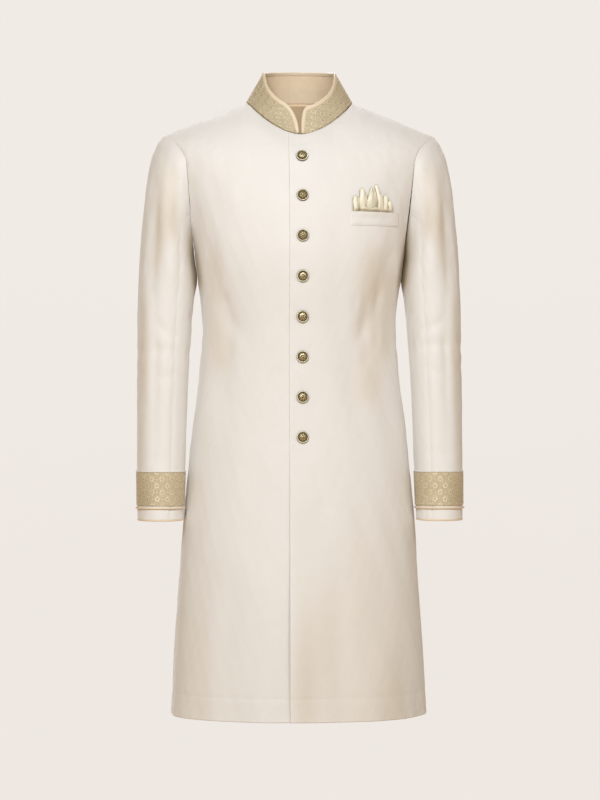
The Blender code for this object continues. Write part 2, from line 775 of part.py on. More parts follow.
def build_pocket_square(skin):
    first, last = PETALS[0].x - SQUARE_MARGIN, PETALS[-1].x + SQUARE_MARGIN
    count = COLUMNS_PER_PETAL * len(PETALS)
    outer, inner = [], []
    for rise, puff in SQUARE_ROWS:
        outer_row, inner_row = [], []
        for i in range(count + 1):
            x = mix(first, last, i / count)
            point, out = on_front(skin, x, POCKET_TOP + GAP + square_height(x) * rise)
            ends = math.sqrt(math.sin(math.pi * mix(SQUARE_ENDS, 1 - SQUARE_ENDS, i / count)))
            inner_row.append(point + out * SQUARE_STAND)
            outer_row.append(point + out * (SQUARE_STAND + SQUARE_THICK * puff * ends))
        outer.append(outer_row)
        inner.append(inner_row)
    make_wall("pocket_square", outer, inner, "pale_gold_silk")


def button_mesh():
    """A domed button turned about Z: a flat back, a rim and a dome."""
    points, faces = [], []
    for radius, rise in BUTTON_PROFILE:
        for k in range(BUTTON_SIDES):
            angle = 2 * math.pi * k / BUTTON_SIDES
            points.append(Vector((math.cos(angle) * BUTTON_RADIUS * radius,
                                  math.sin(angle) * BUTTON_RADIUS * radius,
                                  rise * BUTTON_RISE)))
    for ring in range(len(BUTTON_PROFILE) - 1):
        for k in range(BUTTON_SIDES):
            here, there = ring * BUTTON_SIDES, (ring + 1) * BUTTON_SIDES
            after = (k + 1) % BUTTON_SIDES
            faces.append((here + k, here + after, there + after, there + k))
    faces.append(tuple(range(BUTTON_SIDES)))
    crown = len(points)
    points.append(Vector((0, 0, BUTTON_RISE)))
    last = (len(BUTTON_PROFILE) - 1) * BUTTON_SIDES
    faces += [(last + k, last + (k + 1) % BUTTON_SIDES, crown) for k in range(BUTTON_SIDES)]
    return mesh_from("button", points, faces)


def build_buttons(skin):
    """Eight buttons down the centre line, each flat on the left front."""
    mesh = button_mesh()
    mesh.materials.append(make_material("antique_brass"))
    for number in range(1, BUTTON_COUNT + 1):
        height = BUTTON_TOP - (number - 1) * BUTTON_SPACING
        point, out = on_front(skin, 0, height)
        item = bpy.data.objects.new(f"button_{number}", mesh)
        item.location = point + out * BUTTON_GAP
        item.rotation_euler = out.to_track_quat("Z", "Y").to_euler()
        bpy.context.scene.collection.objects.link(item)


def main():
    clear_scene()
    left_front = build_body()
    build_sleeves()
    build_collar()
    build_neck_facing()
    build_pocket(left_front)
    build_pocket_square(left_front)
    build_buttons(left_front)


main()
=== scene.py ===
"""Sherwani coat: every cut and sewn piece with its finish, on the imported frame."""

import math
from collections import namedtuple

import bmesh
import bpy
import numpy as np
from mathutils import Matrix, Vector
from mathutils.bvhtree import BVHTree


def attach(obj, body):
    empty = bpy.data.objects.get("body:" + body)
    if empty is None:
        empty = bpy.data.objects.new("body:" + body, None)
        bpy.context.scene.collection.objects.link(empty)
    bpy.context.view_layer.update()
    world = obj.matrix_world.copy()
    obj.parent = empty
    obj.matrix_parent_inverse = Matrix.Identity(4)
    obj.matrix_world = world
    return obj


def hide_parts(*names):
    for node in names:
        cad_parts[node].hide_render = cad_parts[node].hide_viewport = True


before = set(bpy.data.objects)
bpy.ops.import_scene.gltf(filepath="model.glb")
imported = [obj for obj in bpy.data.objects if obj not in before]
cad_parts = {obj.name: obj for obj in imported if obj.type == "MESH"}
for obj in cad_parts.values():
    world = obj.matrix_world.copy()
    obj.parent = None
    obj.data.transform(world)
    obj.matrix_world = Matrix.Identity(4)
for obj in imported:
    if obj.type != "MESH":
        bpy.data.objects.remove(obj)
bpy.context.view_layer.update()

# ---------------------------------------------------------------- sizes
# The coat's form, in metres, as its source gives it.
CLOTH = 0.0020
TRIM = 0.0012
GAP = 0.0003
YOKE_HEIGHT = -0.105
UNDERARM_HEIGHT = -0.235
HEM_HEIGHT = -0.992
OVERLAP = 0.020
LAP_BLEND = 0.045
NECK_HALF_WIDTH = 0.087
NECK_FRONT = 0.078
NECK_BACK = 0.062
NECK_FRONT_DROP = 0.0575
NECK_BACK_RISE = 0.004
NECK_DIP = 1.8
NECK_SHARE = 0.36
SHOULDER_TIP = np.array((0.2235, 0.004, -0.055))
ARMHOLE_REACH = {"front": 0.058, "back": 0.068}
ARMHOLE_SPREAD = 0.75
MITRE_LEAST = 0.8
YOKE_EASE_SPAN = 0.34
YOKE_EASE_REACH = 0.17
YOKE_EASE_FADE = 0.35
YOKE_PULL = 1.3
TIP_PULL = 1.3
TIP_SHARE = 0.75
Pull = namedtuple("Pull", "depth height")
NECK_PULL = Pull(1.1, 0.9)
SHOULDER_PULL = Pull(1.5, 0.05)

COLLAR_LEAN = {"front": 16.0, "side": 30.0, "back": 10.0}
COLLAR_SPAN = 9.0
Wing = namedtuple("Wing", "gap round_angle rounding")
WINGS = {1: Wing(1.3, 9.0, 2.6), -1: Wing(3.7, 22.0, 2.05)}   # 1 is the wearer's left
COLLAR_END_HEIGHT = 0.007
Stand = namedtuple("Stand", "angle height")
COLLAR_HEIGHTS = (
    Stand(0.0, 0.0445),
    Stand(40.0, 0.0443),
    Stand(55.0, 0.0480),
    Stand(75.0, 0.0548),
    Stand(100.0, 0.0548),
    Stand(130.0, 0.0518),
    Stand(180.0, 0.0515),
)
PIPING_RADIUS = 0.0014

CUFF_BAND_TOP = -0.600
CUFF_BAND_BOTTOM = -0.6535
CUFF_CORD_HEIGHT = -0.6560
SLEEVE_END = -0.6750

POCKET_TOP = -0.1845
POCKET_HEIGHT = 0.022
POCKET_INNER_X = 0.076
POCKET_OUTER_X = 0.156

BUTTON_COUNT = 8
BUTTON_TOP = -0.0950
BUTTON_SPACING = 0.0640
BUTTON_RADIUS = 0.0098
BUTTON_RISE = 0.0062
BUTTON_GAP = 0.0004

BROAD = 0.8
POWER_RANGE = (1.2, 4.0)
HALVINGS = 30
Section = namedtuple("Section", "height half_width front back kept")
SECTIONS = (
    Section(YOKE_HEIGHT, 0.1840, 0.106, 0.112, 0.760),
    Section(-0.165, 0.1785, 0.124, 0.125, 0.742),
    Section(UNDERARM_HEIGHT, 0.1720, 0.131, 0.126, 0.712),
    Section(-0.272, 0.1680, 0.1305, 0.1225, 0.694),
    Section(-0.303, 0.1636, 0.1278, 0.1185, 0.675),
    Section(-0.335, 0.1594, 0.1245, 0.1145, 0.660),
    Section(-0.375, 0.1583, 0.121, 0.111, 0.650),
    Section(-0.450, 0.1635, 0.119, 0.113, 0.652),
    Section(-0.520, 0.1726, 0.122, 0.122, 0.660),
    Section(-0.600, 0.1808, 0.129, 0.133, 0.667),
    Section(-0.680, 0.1880, 0.135, 0.141, 0.672),
    Section(-0.810, 0.1970, 0.144, 0.151, 0.672),
    Section(HEM_HEIGHT, 0.2090, 0.155, 0.161, 0.672),
)
Ring = namedtuple("Ring", "place inner_x inner_z outer_x outer_z centre_y half_depth")
RINGS = (
    Ring(0.0, 0.1723, -0.2350, 0.2237, -0.0550, 0.005, 0.0630),
    Ring(1.0, 0.1728, -0.2405, 0.2395, -0.0850, 0.004, 0.0655),
    Ring(2.0, 0.1722, -0.2495, 0.2480, -0.1300, 0.003, 0.0665),
    Ring(3.0, 0.1706, -0.2640, 0.2545, -0.1850, 0.002, 0.0665),
    Ring(4.0, 0.1676, -0.2890, 0.2592, -0.2450, 0.000, 0.0650),
    Ring(5.0, 0.1716, -0.3260, 0.2620, -0.3050, -0.002, 0.0625),
    Ring(6.0, 0.1775, -0.4050, 0.2637, -0.4000, -0.008, 0.0580),
    Ring(7.0, 0.1825, -0.5050, 0.2641, -0.5000, -0.018, 0.0540),
    Ring(8.0, 0.1862, CUFF_BAND_TOP, 0.2636, CUFF_BAND_TOP, -0.030, 0.0515),
    Ring(9.0, 0.1878, CUFF_BAND_BOTTOM, 0.2630, CUFF_BAND_BOTTOM, -0.037, 0.0505),
    Ring(10.0, 0.1884, SLEEVE_END, 0.2626, SLEEVE_END, -0.040, 0.0500),
)
RING_SQUARENESS = 2.2
CAP_EASE = 2.5
SEAM_TURN = 180 * (1.4 / 2) ** (1 / ARMHOLE_SPREAD)   # the long seams of the sleeve
EPS = 1e-4
UP = np.array((0.0, 0.0, 1.0))

# ---------------------------------------------------------------- creases
# Soft troughs (negative depth) and ridges pressed or worn into the cloth, as they
# lie seen from one side. Each row gives where the line starts, across and up, where
# it ends, its bow, width and depth. Across is x for front and back, y for the sides.
Crease = namedtuple("Crease", "view start end bow width depth")


def creases(**rows_by_view):
    return tuple(Crease(view, row[:2], row[2:4], *row[4:])
                 for view, rows in rows_by_view.items() for row in rows)


BODY_CREASES = creases(
    front=(
        (-0.150, -0.215, -0.100, -0.385, 0.010, 0.016, -0.0022),
        (-0.100, -0.330, -0.128, -0.520, 0.006, 0.018, -0.0020),
        (0.150, -0.215, 0.082, -0.400, -0.010, 0.015, -0.0024),
        (0.128, -0.290, 0.120, -0.400, 0.003, 0.008, -0.0020),
        (0.108, -0.300, 0.104, -0.430, 0.004, 0.012, -0.0018),
        (-0.128, -0.300, -0.118, -0.430, -0.004, 0.011, -0.0018),
        (0.085, -0.310, 0.083, -0.350, 0.000, 0.006, -0.0009),
        (0.082, -0.400, 0.100, -0.560, 0.008, 0.020, -0.0018),
        (0.020, -0.595, 0.042, -0.660, 0.004, 0.007, -0.0012),
        (-0.110, -0.600, -0.125, -0.990, 0.006, 0.026, -0.0034),
        (-0.060, -0.620, -0.062, -0.990, -0.004, 0.024, 0.0026),
        (0.055, -0.640, 0.062, -0.990, 0.004, 0.022, -0.0028),
        (0.105, -0.600, 0.118, -0.990, 0.004, 0.024, 0.0030),
        (0.160, -0.620, 0.176, -0.990, 0.002, 0.020, -0.0030),
        (-0.170, -0.640, -0.182, -0.990, 0.002, 0.018, 0.0024),
        (-0.160, -0.120, -0.120, -0.205, -0.006, 0.014, -0.0012),
        (0.165, -0.115, 0.125, -0.200, 0.006, 0.014, -0.0012),
    ),
    back=(
        (-0.130, -0.230, -0.080, -0.390, 0.010, 0.016, -0.0024),
        (0.130, -0.230, 0.080, -0.390, -0.010, 0.016, -0.0022),
        (-0.090, -0.370, 0.015, -0.385, 0.006, 0.011, -0.0014),
        (-0.020, -0.405, 0.100, -0.395, -0.006, 0.012, -0.0015),
        (-0.060, -0.430, 0.060, -0.436, -0.004, 0.013, -0.0011),
        (0.140, -0.120, 0.110, -0.230, 0.006, 0.014, -0.0014),
        (-0.142, -0.118, -0.112, -0.232, -0.006, 0.014, -0.0014),
        (-0.050, -0.560, -0.058, -0.990, 0.004, 0.024, -0.0032),
        (-0.112, -0.580, -0.124, -0.990, 0.002, 0.024, 0.0030),
        (0.052, -0.580, 0.064, -0.990, 0.002, 0.024, -0.0034),
        (0.110, -0.560, 0.128, -0.990, 0.002, 0.022, 0.0028),
        (0.165, -0.600, 0.180, -0.990, 0.002, 0.020, -0.0026),
        (-0.165, -0.620, -0.182, -0.990, 0.002, 0.020, -0.0028),
    ),
    left=(
        (-0.040, -0.260, 0.010, -0.400, 0.006, 0.014, -0.0020),
        (0.045, -0.265, 0.004, -0.380, -0.006, 0.013, -0.0016),
        (-0.030, -0.395, 0.050, -0.385, 0.005, 0.010, -0.0012),
        (-0.055, -0.560, -0.070, -0.990, 0.004, 0.024, -0.0032),
        (0.050, -0.540, 0.070, -0.990, 0.004, 0.024, 0.0030),
    ),
    right=(
        (-0.042, -0.255, 0.006, -0.390, 0.006, 0.014, -0.0020),
        (0.048, -0.265, 0.006, -0.395, -0.006, 0.013, -0.0018),
        (-0.040, -0.405, 0.040, -0.392, 0.005, 0.010, -0.0012),
        (-0.050, -0.560, -0.062, -0.990, 0.004, 0.024, 0.0028),
        (0.055, -0.560, 0.078, -0.990, 0.004, 0.024, -0.0034),
    ),
)
# On the left sleeve; the right one has them mirrored and a little lower.
RIGHT_CREASE_DROP = (0.012, 0.008)
SLEEVE_CREASES = creases(
    front=(
        (0.2350, -0.090, 0.2430, -0.310, 0.000, 0.014, -0.0050),
        (0.2050, -0.110, 0.2110, -0.300, 0.000, 0.013, 0.0030),
        (0.240, -0.230, 0.236, -0.590, 0.004, 0.009, -0.0016),
        (0.215, -0.300, 0.222, -0.560, 0.003, 0.013, 0.0015),
        (0.190, -0.372, 0.232, -0.352, 0.004, 0.008, -0.0016),
        (0.188, -0.400, 0.246, -0.398, -0.004, 0.009, -0.0018),
        (0.190, -0.432, 0.228, -0.446, -0.003, 0.008, -0.0013),
        (0.192, -0.560, 0.250, -0.570, 0.004, 0.008, -0.0010),
    ),
    back=(
        (0.230, -0.140, 0.205, -0.230, 0.004, 0.012, -0.0016),
        (0.235, -0.250, 0.232, -0.580, -0.004, 0.011, -0.0014),
        (0.200, -0.330, 0.246, -0.345, 0.004, 0.011, 0.0012),
        (0.196, -0.410, 0.240, -0.400, 0.004, 0.011, 0.0010),
    ),
    left=(
        (-0.030, -0.120, -0.020, -0.300, 0.004, 0.012, -0.0014),
        (0.020, -0.200, 0.000, -0.560, 0.006, 0.012, -0.0016),
        (-0.052, -0.380, -0.010, -0.405, 0.003, 0.009, -0.0016),
        (-0.055, -0.430, -0.014, -0.432, -0.003, 0.009, -0.0013),
    ),
    right=(
        (-0.045, -0.330, 0.010, -0.350, 0.003, 0.010, -0.0014),
        (-0.050, -0.400, 0.000, -0.404, -0.003, 0.010, -0.0014),
        (0.010, -0.280, -0.010, -0.560, 0.003, 0.013, -0.0012),
    ),
)
# Soft warm painted shade laid into the cloth's colour the same way, where it turns into shade;
# the last number is how much.
BODY_PAINTED_SHADE = creases(
    front=(
        (0.120, -0.200, 0.102, -0.500, 0.000, 0.032, 0.72),
        (0.150, -0.250, 0.135, -0.420, 0.000, 0.018, 0.45),
        (-0.147, -0.225, -0.125, -0.450, 0.000, 0.026, 0.55),
        (0.130, -0.520, 0.145, -0.990, 0.000, 0.036, 0.75),
        (0.082, -0.440, 0.092, -0.990, 0.000, 0.032, 0.72),
        (0.040, -0.480, 0.046, -0.990, 0.000, 0.028, 0.62),
        (0.002, -0.470, 0.004, -0.990, 0.000, 0.026, 0.72),
        (-0.150, -0.520, -0.170, -0.990, 0.000, 0.030, 0.45),
    ),
    back=(
        (0.120, -0.230, 0.110, -0.480, 0.000, 0.024, 0.50),
        (-0.120, -0.230, -0.110, -0.480, 0.000, 0.024, 0.50),
        (0.070, -0.560, 0.085, -0.990, 0.000, 0.050, 0.40),
        (-0.120, -0.560, -0.140, -0.990, 0.000, 0.040, 0.40),
    ),
)
SLEEVE_PAINTED_SHADE = creases(
    front=(
        (0.2010, -0.095, 0.2070, -0.240, 0.000, 0.011, 0.85),
        (0.2180, -0.070, 0.2330, -0.290, 0.000, 0.016, 0.85),
        (0.2500, -0.260, 0.2540, -0.590, 0.000, 0.012, 0.60),
    ),
    back=(
        (0.2180, -0.080, 0.2330, -0.300, 0.000, 0.014, 0.60),
    ),
)
# The fold between sleeve and chest, down from the armhole. depth is how far the
# cloth is drawn into it beside its line, spread how far the two sides part in
# front, shut how far the sleeve closes on the body behind, and shade how dark the
# cloth is painted beside its line, as painted shade in the fold.
Tuck = namedtuple("Tuck", "height line depth spread shut shade")
ARMPIT = (
    Tuck(-0.120, 0.1828, 0.000, 0.0000, 0.0000, 0.00),
    Tuck(-0.165, 0.1785, 0.007, 0.0000, 0.0000, 0.00),
    Tuck(-0.195, 0.1755, 0.012, 0.0000, 0.0000, 0.10),
    Tuck(-0.215, 0.1738, 0.018, 0.0000, 0.0000, 0.40),
    Tuck(-0.238, 0.1720, 0.024, 0.0000, 0.0004, 0.80),
    Tuck(-0.255, 0.1708, 0.026, 0.0002, 0.0012, 1.00),
    Tuck(-0.275, 0.1690, 0.026, 0.0002, 0.0020, 1.00),
    Tuck(-0.295, 0.1675, 0.020, 0.0002, 0.0021, 0.90),
    Tuck(-0.320, 0.1668, 0.008, 0.0002, 0.0011, 0.25),
    Tuck(-0.360, 0.1668, 0.000, 0.0000, 0.0000, 0.00),
)
# How far the painted shade in the fold reaches from its line.
ARMPIT_SHADE_REACH = 0.0092
ARMPIT_REACH = 0.0085
ARMPIT_SPREAD_REACH = 0.018
ARMPIT_DEPTH = 0.055
FACING_LEAST = 0.15       # creases fade where the cloth turns away from their view
FACING_SPAN = 0.4
View = namedtuple("View", "towards across_axis")
VIEWS = {
    "front": View((0.0, -1.0, 0.0), 0),
    "back": View((0.0, 1.0, 0.0), 0),
    "left": View((1.0, 0.0, 0.0), 1),
    "right": View((-1.0, 0.0, 0.0), 1),
}

# Unevenness of the cloth beside its creases.
RIPPLE_WAVES = 9
Swell = namedtuple("Swell", "height seed size stretch")
PANEL_SWELL = Swell(0.00045, 11, 0.055, 2.6)
PANEL_RUCKS = Swell(0.00018, 12, 0.018, 1.8)
SKIRT_SWELL = Swell(0.0012, 13, 0.11, 9.0)
SKIRT_SWELL_TOP = -0.45
SLEEVE_SWELL = Swell(0.00045, 21, 0.045, 2.4)
RIGHT_SHIFT = 0.4         # where the right sleeve reads the same swells
SLEEVE_RUCKS = Swell(0.00016, 22, 0.016, 1.8)
FACING_SWELL = Swell(0.00025, 31, 0.03, 1.0)

# ---------------------------------------------------------------- mesh detail
PANEL_NECK_COLUMNS = 26
PANEL_SHOULDER_COLUMNS = 46
PANEL_OVERLAP_COLUMNS = 7
YOKE_ROWS = 30
ARMHOLE_ROWS = 28
SKIRT_ROWS = 150
SLEEVE_ROWS = 130
HEM_TURN = 0.048                            # place of the hem's fold above the edge
# Extra rows and columns beside seams, edges and the hem's fold.
EDGE_STEPS = (0.002, 0.005, 0.009, 0.014)
LAP_COLUMNS = (-0.97, -0.92)
SHOULDER_ROWS = (0.006, 0.014, 0.024)
HEM_ROWS = (0.0012, 0.003, 0.0055, 0.045, HEM_TURN, 0.051)
SLEEVE_EXTRA_ROWS = (0.03, 0.08, 0.15, 0.25, 9.80, 9.90, 9.96)
SLEEVE_EXTRA_COLUMNS = (0.004, 0.012, 0.022, 0.996, 0.988, 0.978)
SEAM_DEPTH = 0.0009
SEAM_WIDTH = 0.0045
SEWN_BULGE = 0.00005                        # how far a wall's rim swells at a seam
FREE_BULGE = 0.38                           # and at a free edge, as a share of the wall


# ---------------------------------------------------------------- curves
def mix(start, end, share):
    return start + (end - start) * share


def smooth(value):
    value = np.clip(value, 0.0, 1.0)
    return value * value * (3 - 2 * value)


def unit(vectors):
    return vectors / np.maximum(np.linalg.norm(vectors, axis=-1, keepdims=True), 1e-12)


def hermite(start, leave, end, arrive, t):
    return (start * (2 * t**3 - 3 * t**2 + 1) + leave * (t**3 - 2 * t**2 + t)
            + end * (3 * t**2 - 2 * t**3) + arrive * (t**3 - t**2))


def along(table, column, key):
    """A table's column at each value of its first column, on a smooth curve."""
    keys = np.array([row[0] for row in table])
    values = np.array([getattr(row, column) for row in table])
    if keys[0] > keys[-1]:
        keys, values = keys[::-1], values[::-1]
    last = len(keys) - 1
    key = np.clip(key, keys[0], keys[-1])
    at = np.clip(np.searchsorted(keys, key, side="right") - 1, 0, last - 1)
    low = np.maximum(np.arange(last + 1) - 1, 0)
    high = np.minimum(np.arange(last + 1) + 1, last)
    slopes = (values[high] - values[low]) / (keys[high] - keys[low])
    span = keys[at + 1] - keys[at]
    return hermite(values[at], slopes[at] * span, values[at + 1], slopes[at + 1] * span,
                   (key - keys[at]) / span)


def signed_power(value, exponent):
    return np.sign(value) * np.abs(value) ** exponent


def joined(*parts):
    """Coordinate arrays of any matching shapes as one array of points."""
    return np.stack(np.broadcast_arrays(*parts), axis=-1)


# ---------------------------------------------------------------- body form
def sign_of(half):
    return -1.0 if half == "front" else 1.0


def section_shapes(half, heights):
    edge = along(SECTIONS, "half_width", heights)
    depth = along(SECTIONS, half, heights)
    kept = along(SECTIONS, "kept", heights)
    rise = np.clip((heights - UNDERARM_HEIGHT) / (YOKE_HEIGHT - UNDERARM_HEIGHT), 0, 1)
    reach = ARMHOLE_REACH[half] * np.sqrt(1 - (1 - rise) ** 2) / depth
    low = np.full_like(edge, POWER_RANGE[0])
    high = np.full_like(edge, POWER_RANGE[1])
    for _ in range(HALVINGS):
        power = (low + high) / 2
        wide = BROAD**power * (1 - reach**power) + kept**power > 1
        low = np.where(wide, power, low)
        high = np.where(wide, high, power)
    full = edge / (1 - reach**power) ** (1 / power)
    return depth, full, power, np.arcsin((edge / full) ** (power / 2))


def section_grid(half, shares, heights):
    """Points of level sections, a row for each height and a column for each share."""
    depth, full, power, last = (part[:, None] for part in section_shapes(half, heights))
    shares = shares[None, :]
    x_lap = shares * OVERLAP
    angle = np.where(shares >= 0, np.clip(shares, 0, 1) * last,
                     np.arcsin((np.abs(np.minimum(x_lap, 0)) / full) ** (power / 2)))
    x = np.where(shares >= 0, full * np.sin(angle) ** (2 / power), x_lap)
    y = sign_of(half) * depth * np.abs(np.cos(angle)) ** (2 / power)
    return joined(x, y, heights[:, None])


def neck_points(half, angles):
    x = NECK_HALF_WIDTH * np.sin(angles)
    if half == "front":
        y = -NECK_FRONT * np.cos(angles)
        z = -NECK_FRONT_DROP * (1 - np.abs(np.sin(angles)) ** NECK_DIP)
    else:
        y = NECK_BACK * np.cos(angles)
        z = NECK_BACK_RISE * np.cos(angles)
    return joined(x, y, z)


def top_points(half, shares):
    """The top edge: the neck seam, then the shoulder seam."""
    lap = np.arcsin(np.clip(shares, -1, 0) * OVERLAP / NECK_HALF_WIDTH)
    angle = np.where(shares < 0, lap, np.pi / 2 * np.clip(shares / NECK_SHARE, 0, 1))
    neck = neck_points(half, angle)
    beyond = np.clip((shares - NECK_SHARE) / (1 - NECK_SHARE), 0, 1)[:, None]
    return neck + (SHOULDER_TIP - neck_points(half, np.array(np.pi / 2))) * beyond


def body_grid(half, shares, places):
    """The coat's outer surface: a row for each place from the top edge down."""
    rise = 1 - np.cos(np.pi / 2 * (2 - np.clip(places, 1, 2)))
    heights = np.where(places >= 2, mix(UNDERARM_HEIGHT, HEM_HEIGHT, places - 2),
                       mix(UNDERARM_HEIGHT, YOKE_HEIGHT, rise))
    grid = section_grid(half, shares, heights)
    over = places < 1
    low, under = section_grid(half, shares, np.array((YOKE_HEIGHT, YOKE_HEIGHT - EPS)))
    top = top_points(half, shares)
    across = top[:, 1] - low[:, 1]
    climb = top[:, 2] - low[:, 2]
    leave = (low - under) / EPS * climb[:, None] * YOKE_PULL
    on_neck = np.sqrt(1 - np.clip(np.abs(top[:, 0]) / NECK_HALF_WIDTH, 0, 1) ** 2)
    on_edge = smooth((shares - TIP_SHARE) / (1 - TIP_SHARE))
    arrive = joined(TIP_PULL * (top[:, 0] - low[:, 0]) * on_edge,
                    mix(SHOULDER_PULL.depth, NECK_PULL.depth, on_neck) * across,
                    mix(SHOULDER_PULL.height, NECK_PULL.height, on_neck) * climb)
    t = (1 - places[over])[:, None, None]
    grid[over] = hermite(low[None], leave[None], top[None], arrive[None], t)
    if shares[0] < NECK_SHARE:
        grid[over] = eased(grid[over], shares, places[over])
    return grid


def eased(rows, shares, places):
    """Rows of the yoke with the neck corner's ridge spread out below the seam."""
    near = np.clip(1 - ((shares - NECK_SHARE) / YOKE_EASE_SPAN) ** 2, 0, 1) ** 2
    result = np.zeros_like(rows)
    offsets, weights = (-1, -0.6, -0.3, 0, 0.3, 0.6, 1), (1, 2, 3, 3, 3, 2, 1)
    for offset, weight in zip(offsets, weights):
        at = shares + offset * YOKE_EASE_REACH * near
        for row, axis in np.ndindex(len(rows), 3):
            result[row, :, axis] += (weight / sum(weights)
                                     * np.interp(at, shares, rows[row, :, axis]))
    amount = smooth(places / YOKE_EASE_FADE) * smooth((1 - places) / YOKE_EASE_FADE)
    return mix(rows, result, amount[:, None, None])


def grid_normals(grid, ring=False):
    """Unit normals of a grid of points, along columns crossed with down rows."""
    down = np.gradient(grid, axis=0)
    if ring:
        wide = np.concatenate((grid[:, -1:], grid, grid[:, :1]), axis=1)
        around = np.gradient(wide, axis=1)[:, 1:-1]
    else:
        around = np.gradient(grid, axis=1)
    return unit(np.cross(around, down))


# ---------------------------------------------------------------- sleeve form
def sleeve_turn(half, place):
    turn = 180 * (place / 2) ** (1 / ARMHOLE_SPREAD)
    return turn if half == "front" else 360 - turn


def armhole_points(turns):
    """The armhole's edge at angles round the sleeve, in degrees."""
    turns = np.mod(turns, 360)
    front = turns <= 180
    places = 2 * (np.where(front, turns, 360 - turns) / 180) ** ARMHOLE_SPREAD
    edge = np.array((1.0,))
    found = {half: body_grid(half, edge, places)[:, 0] for half in ("front", "back")}
    return np.where(front[:, None], found["front"], found["back"])


def ring_points(turns, places):
    ring = {name: along(RINGS, name, places)[:, None] for name in Ring._fields[1:]}
    angles = np.radians(turns)[None, :]
    line = signed_power(np.cos(angles), 2 / RING_SQUARENESS)
    cross = signed_power(np.sin(angles), 2 / RING_SQUARENESS)
    x = (ring["inner_x"] + ring["outer_x"]) / 2 + (ring["outer_x"] - ring["inner_x"]) / 2 * line
    z = (ring["inner_z"] + ring["outer_z"]) / 2 + (ring["outer_z"] - ring["inner_z"]) / 2 * line
    return joined(x, ring["centre_y"] - ring["half_depth"] * cross, z)


def sleeve_grid(turns, places):
    """The left sleeve's outer surface: a row for each place down the sleeve."""
    hold = np.clip(1 - places / CAP_EASE, 0, 1) ** 2
    shift = armhole_points(turns) - ring_points(turns, np.array((0.0,)))[0]
    return ring_points(turns, places) + shift[None] * hold[:, None, None]


def armhole_mitre(half, places, normals):
    """The inward step at a panel's armhole edge, halfway between the body's and
    the sleeve's walls."""
    turns = np.array([sleeve_turn(half, place) for place in places])
    spread = np.stack((turns - 0.5, turns, turns + 0.5), axis=1)
    near = sleeve_grid(spread.ravel(), np.array((0.05, 0.06))).reshape(2, len(places), 3, 3)
    sleeve = unit(np.cross(near[0, :, 2] - near[0, :, 0], near[1, :, 1] - near[0, :, 1]))
    mitre = unit(normals + sleeve)
    reach = np.maximum((mitre * normals).sum(-1, keepdims=True), MITRE_LEAST)
    return mitre, reach


# ---------------------------------------------------------------- folds and ripples
def crease_relief(points, normals, creases):
    """How far the creases move each point along its normal."""
    total = np.zeros(points.shape[:-1])
    for crease in creases:
        view = VIEWS[crease.view]
        facing = (normals * np.array(view.towards)).sum(-1)
        weight = smooth((facing - FACING_LEAST) / FACING_SPAN)
        across, height = points[..., view.across_axis], points[..., 2]
        start = np.array(crease.start)
        run = np.array(crease.end) - start
        length = np.hypot(*run)
        t = ((across - start[0]) * run[0] + (height - start[1]) * run[1]) / length**2
        away = ((across - start[0]) * run[1] - (height - start[1]) * run[0]) / length
        away = away - crease.bow * 4 * t * (1 - t)
        q = away / crease.width
        fade = smooth(t / 0.30 + 0.15) * smooth((1.12 - t) / 0.30)
        if crease.end[1] <= HEM_HEIGHT + 0.01:
            fade = smooth(t)
        wave = 1 + 0.25 * np.sin(9 * t + 40 * crease.start[0])
        total += weight * fade * wave * crease.depth * (1 - 0.55 * q**2) * np.exp(-(q**2) / 1.3)
    return total


def tucked(points, side):
    """Points of the left half drawn into the fold under the arm: side is 1 for
    the sleeve and -1 for the body."""
    line, depth, spread, shut = (along(ARMPIT, name, points[..., 2])
                                 for name in Tuck._fields[1:5])
    y = points[..., 1]
    away = np.abs(points[..., 0] - line)
    near = np.exp(-((away / ARMPIT_REACH) ** 1.5))
    inward = -np.sign(y) * depth * near * smooth(np.abs(y) / ARMPIT_DEPTH)
    wide = np.exp(-((away / ARMPIT_SPREAD_REACH) ** 2))
    apart = side * spread * wide * smooth(-y / 0.030)
    closed = -shut * wide * (side > 0) * smooth((y + 0.010) / 0.020)
    return points + joined(apart + closed, inward, 0)


def painted_shade_amount(points, normals, tones):
    """How much painted shade the cloth gets: up to 1 for soft warm painted shade, and up to 2
    for deep painted shade in the fold under the arm.
    """
    away = np.abs(points[..., 0]) - along(ARMPIT, "line", points[..., 2])
    under = along(ARMPIT, "shade", points[..., 2]) * np.exp(-((away / ARMPIT_SHADE_REACH) ** 2))
    return np.clip(crease_relief(points, normals, tones), 0, 1) * (1 - under) + 2 * under


def ripple(points, swell):
    """Uneven soft swells of about one size and height, stretched up and down."""
    draw = np.random.default_rng(swell.seed)
    total = np.zeros(points.shape[:-1])
    for _ in range(RIPPLE_WAVES):
        turn = draw.uniform(0, 2 * np.pi)
        climb = draw.uniform(-1, 1) / swell.stretch
        pitch = swell.size * draw.uniform(0.7, 1.4)
        wave = np.array((np.cos(turn), np.sin(turn), climb)) * 2 * np.pi / pitch
        total += np.sin(points @ wave + draw.uniform(0, 2 * np.pi))
    return swell.height * (total / RIPPLE_WAVES**0.5)


# ---------------------------------------------------------------- finishes
# Sockets that share a name with others and so are reached by number.
MIX_FACTOR, MIX_FIRST, MIX_SECOND, MIXED_COLOUR = 0, 6, 7, 2
ATTRIBUTE_VALUE = 2
OBJECT_PLACE = 3
BACKFACING = 6


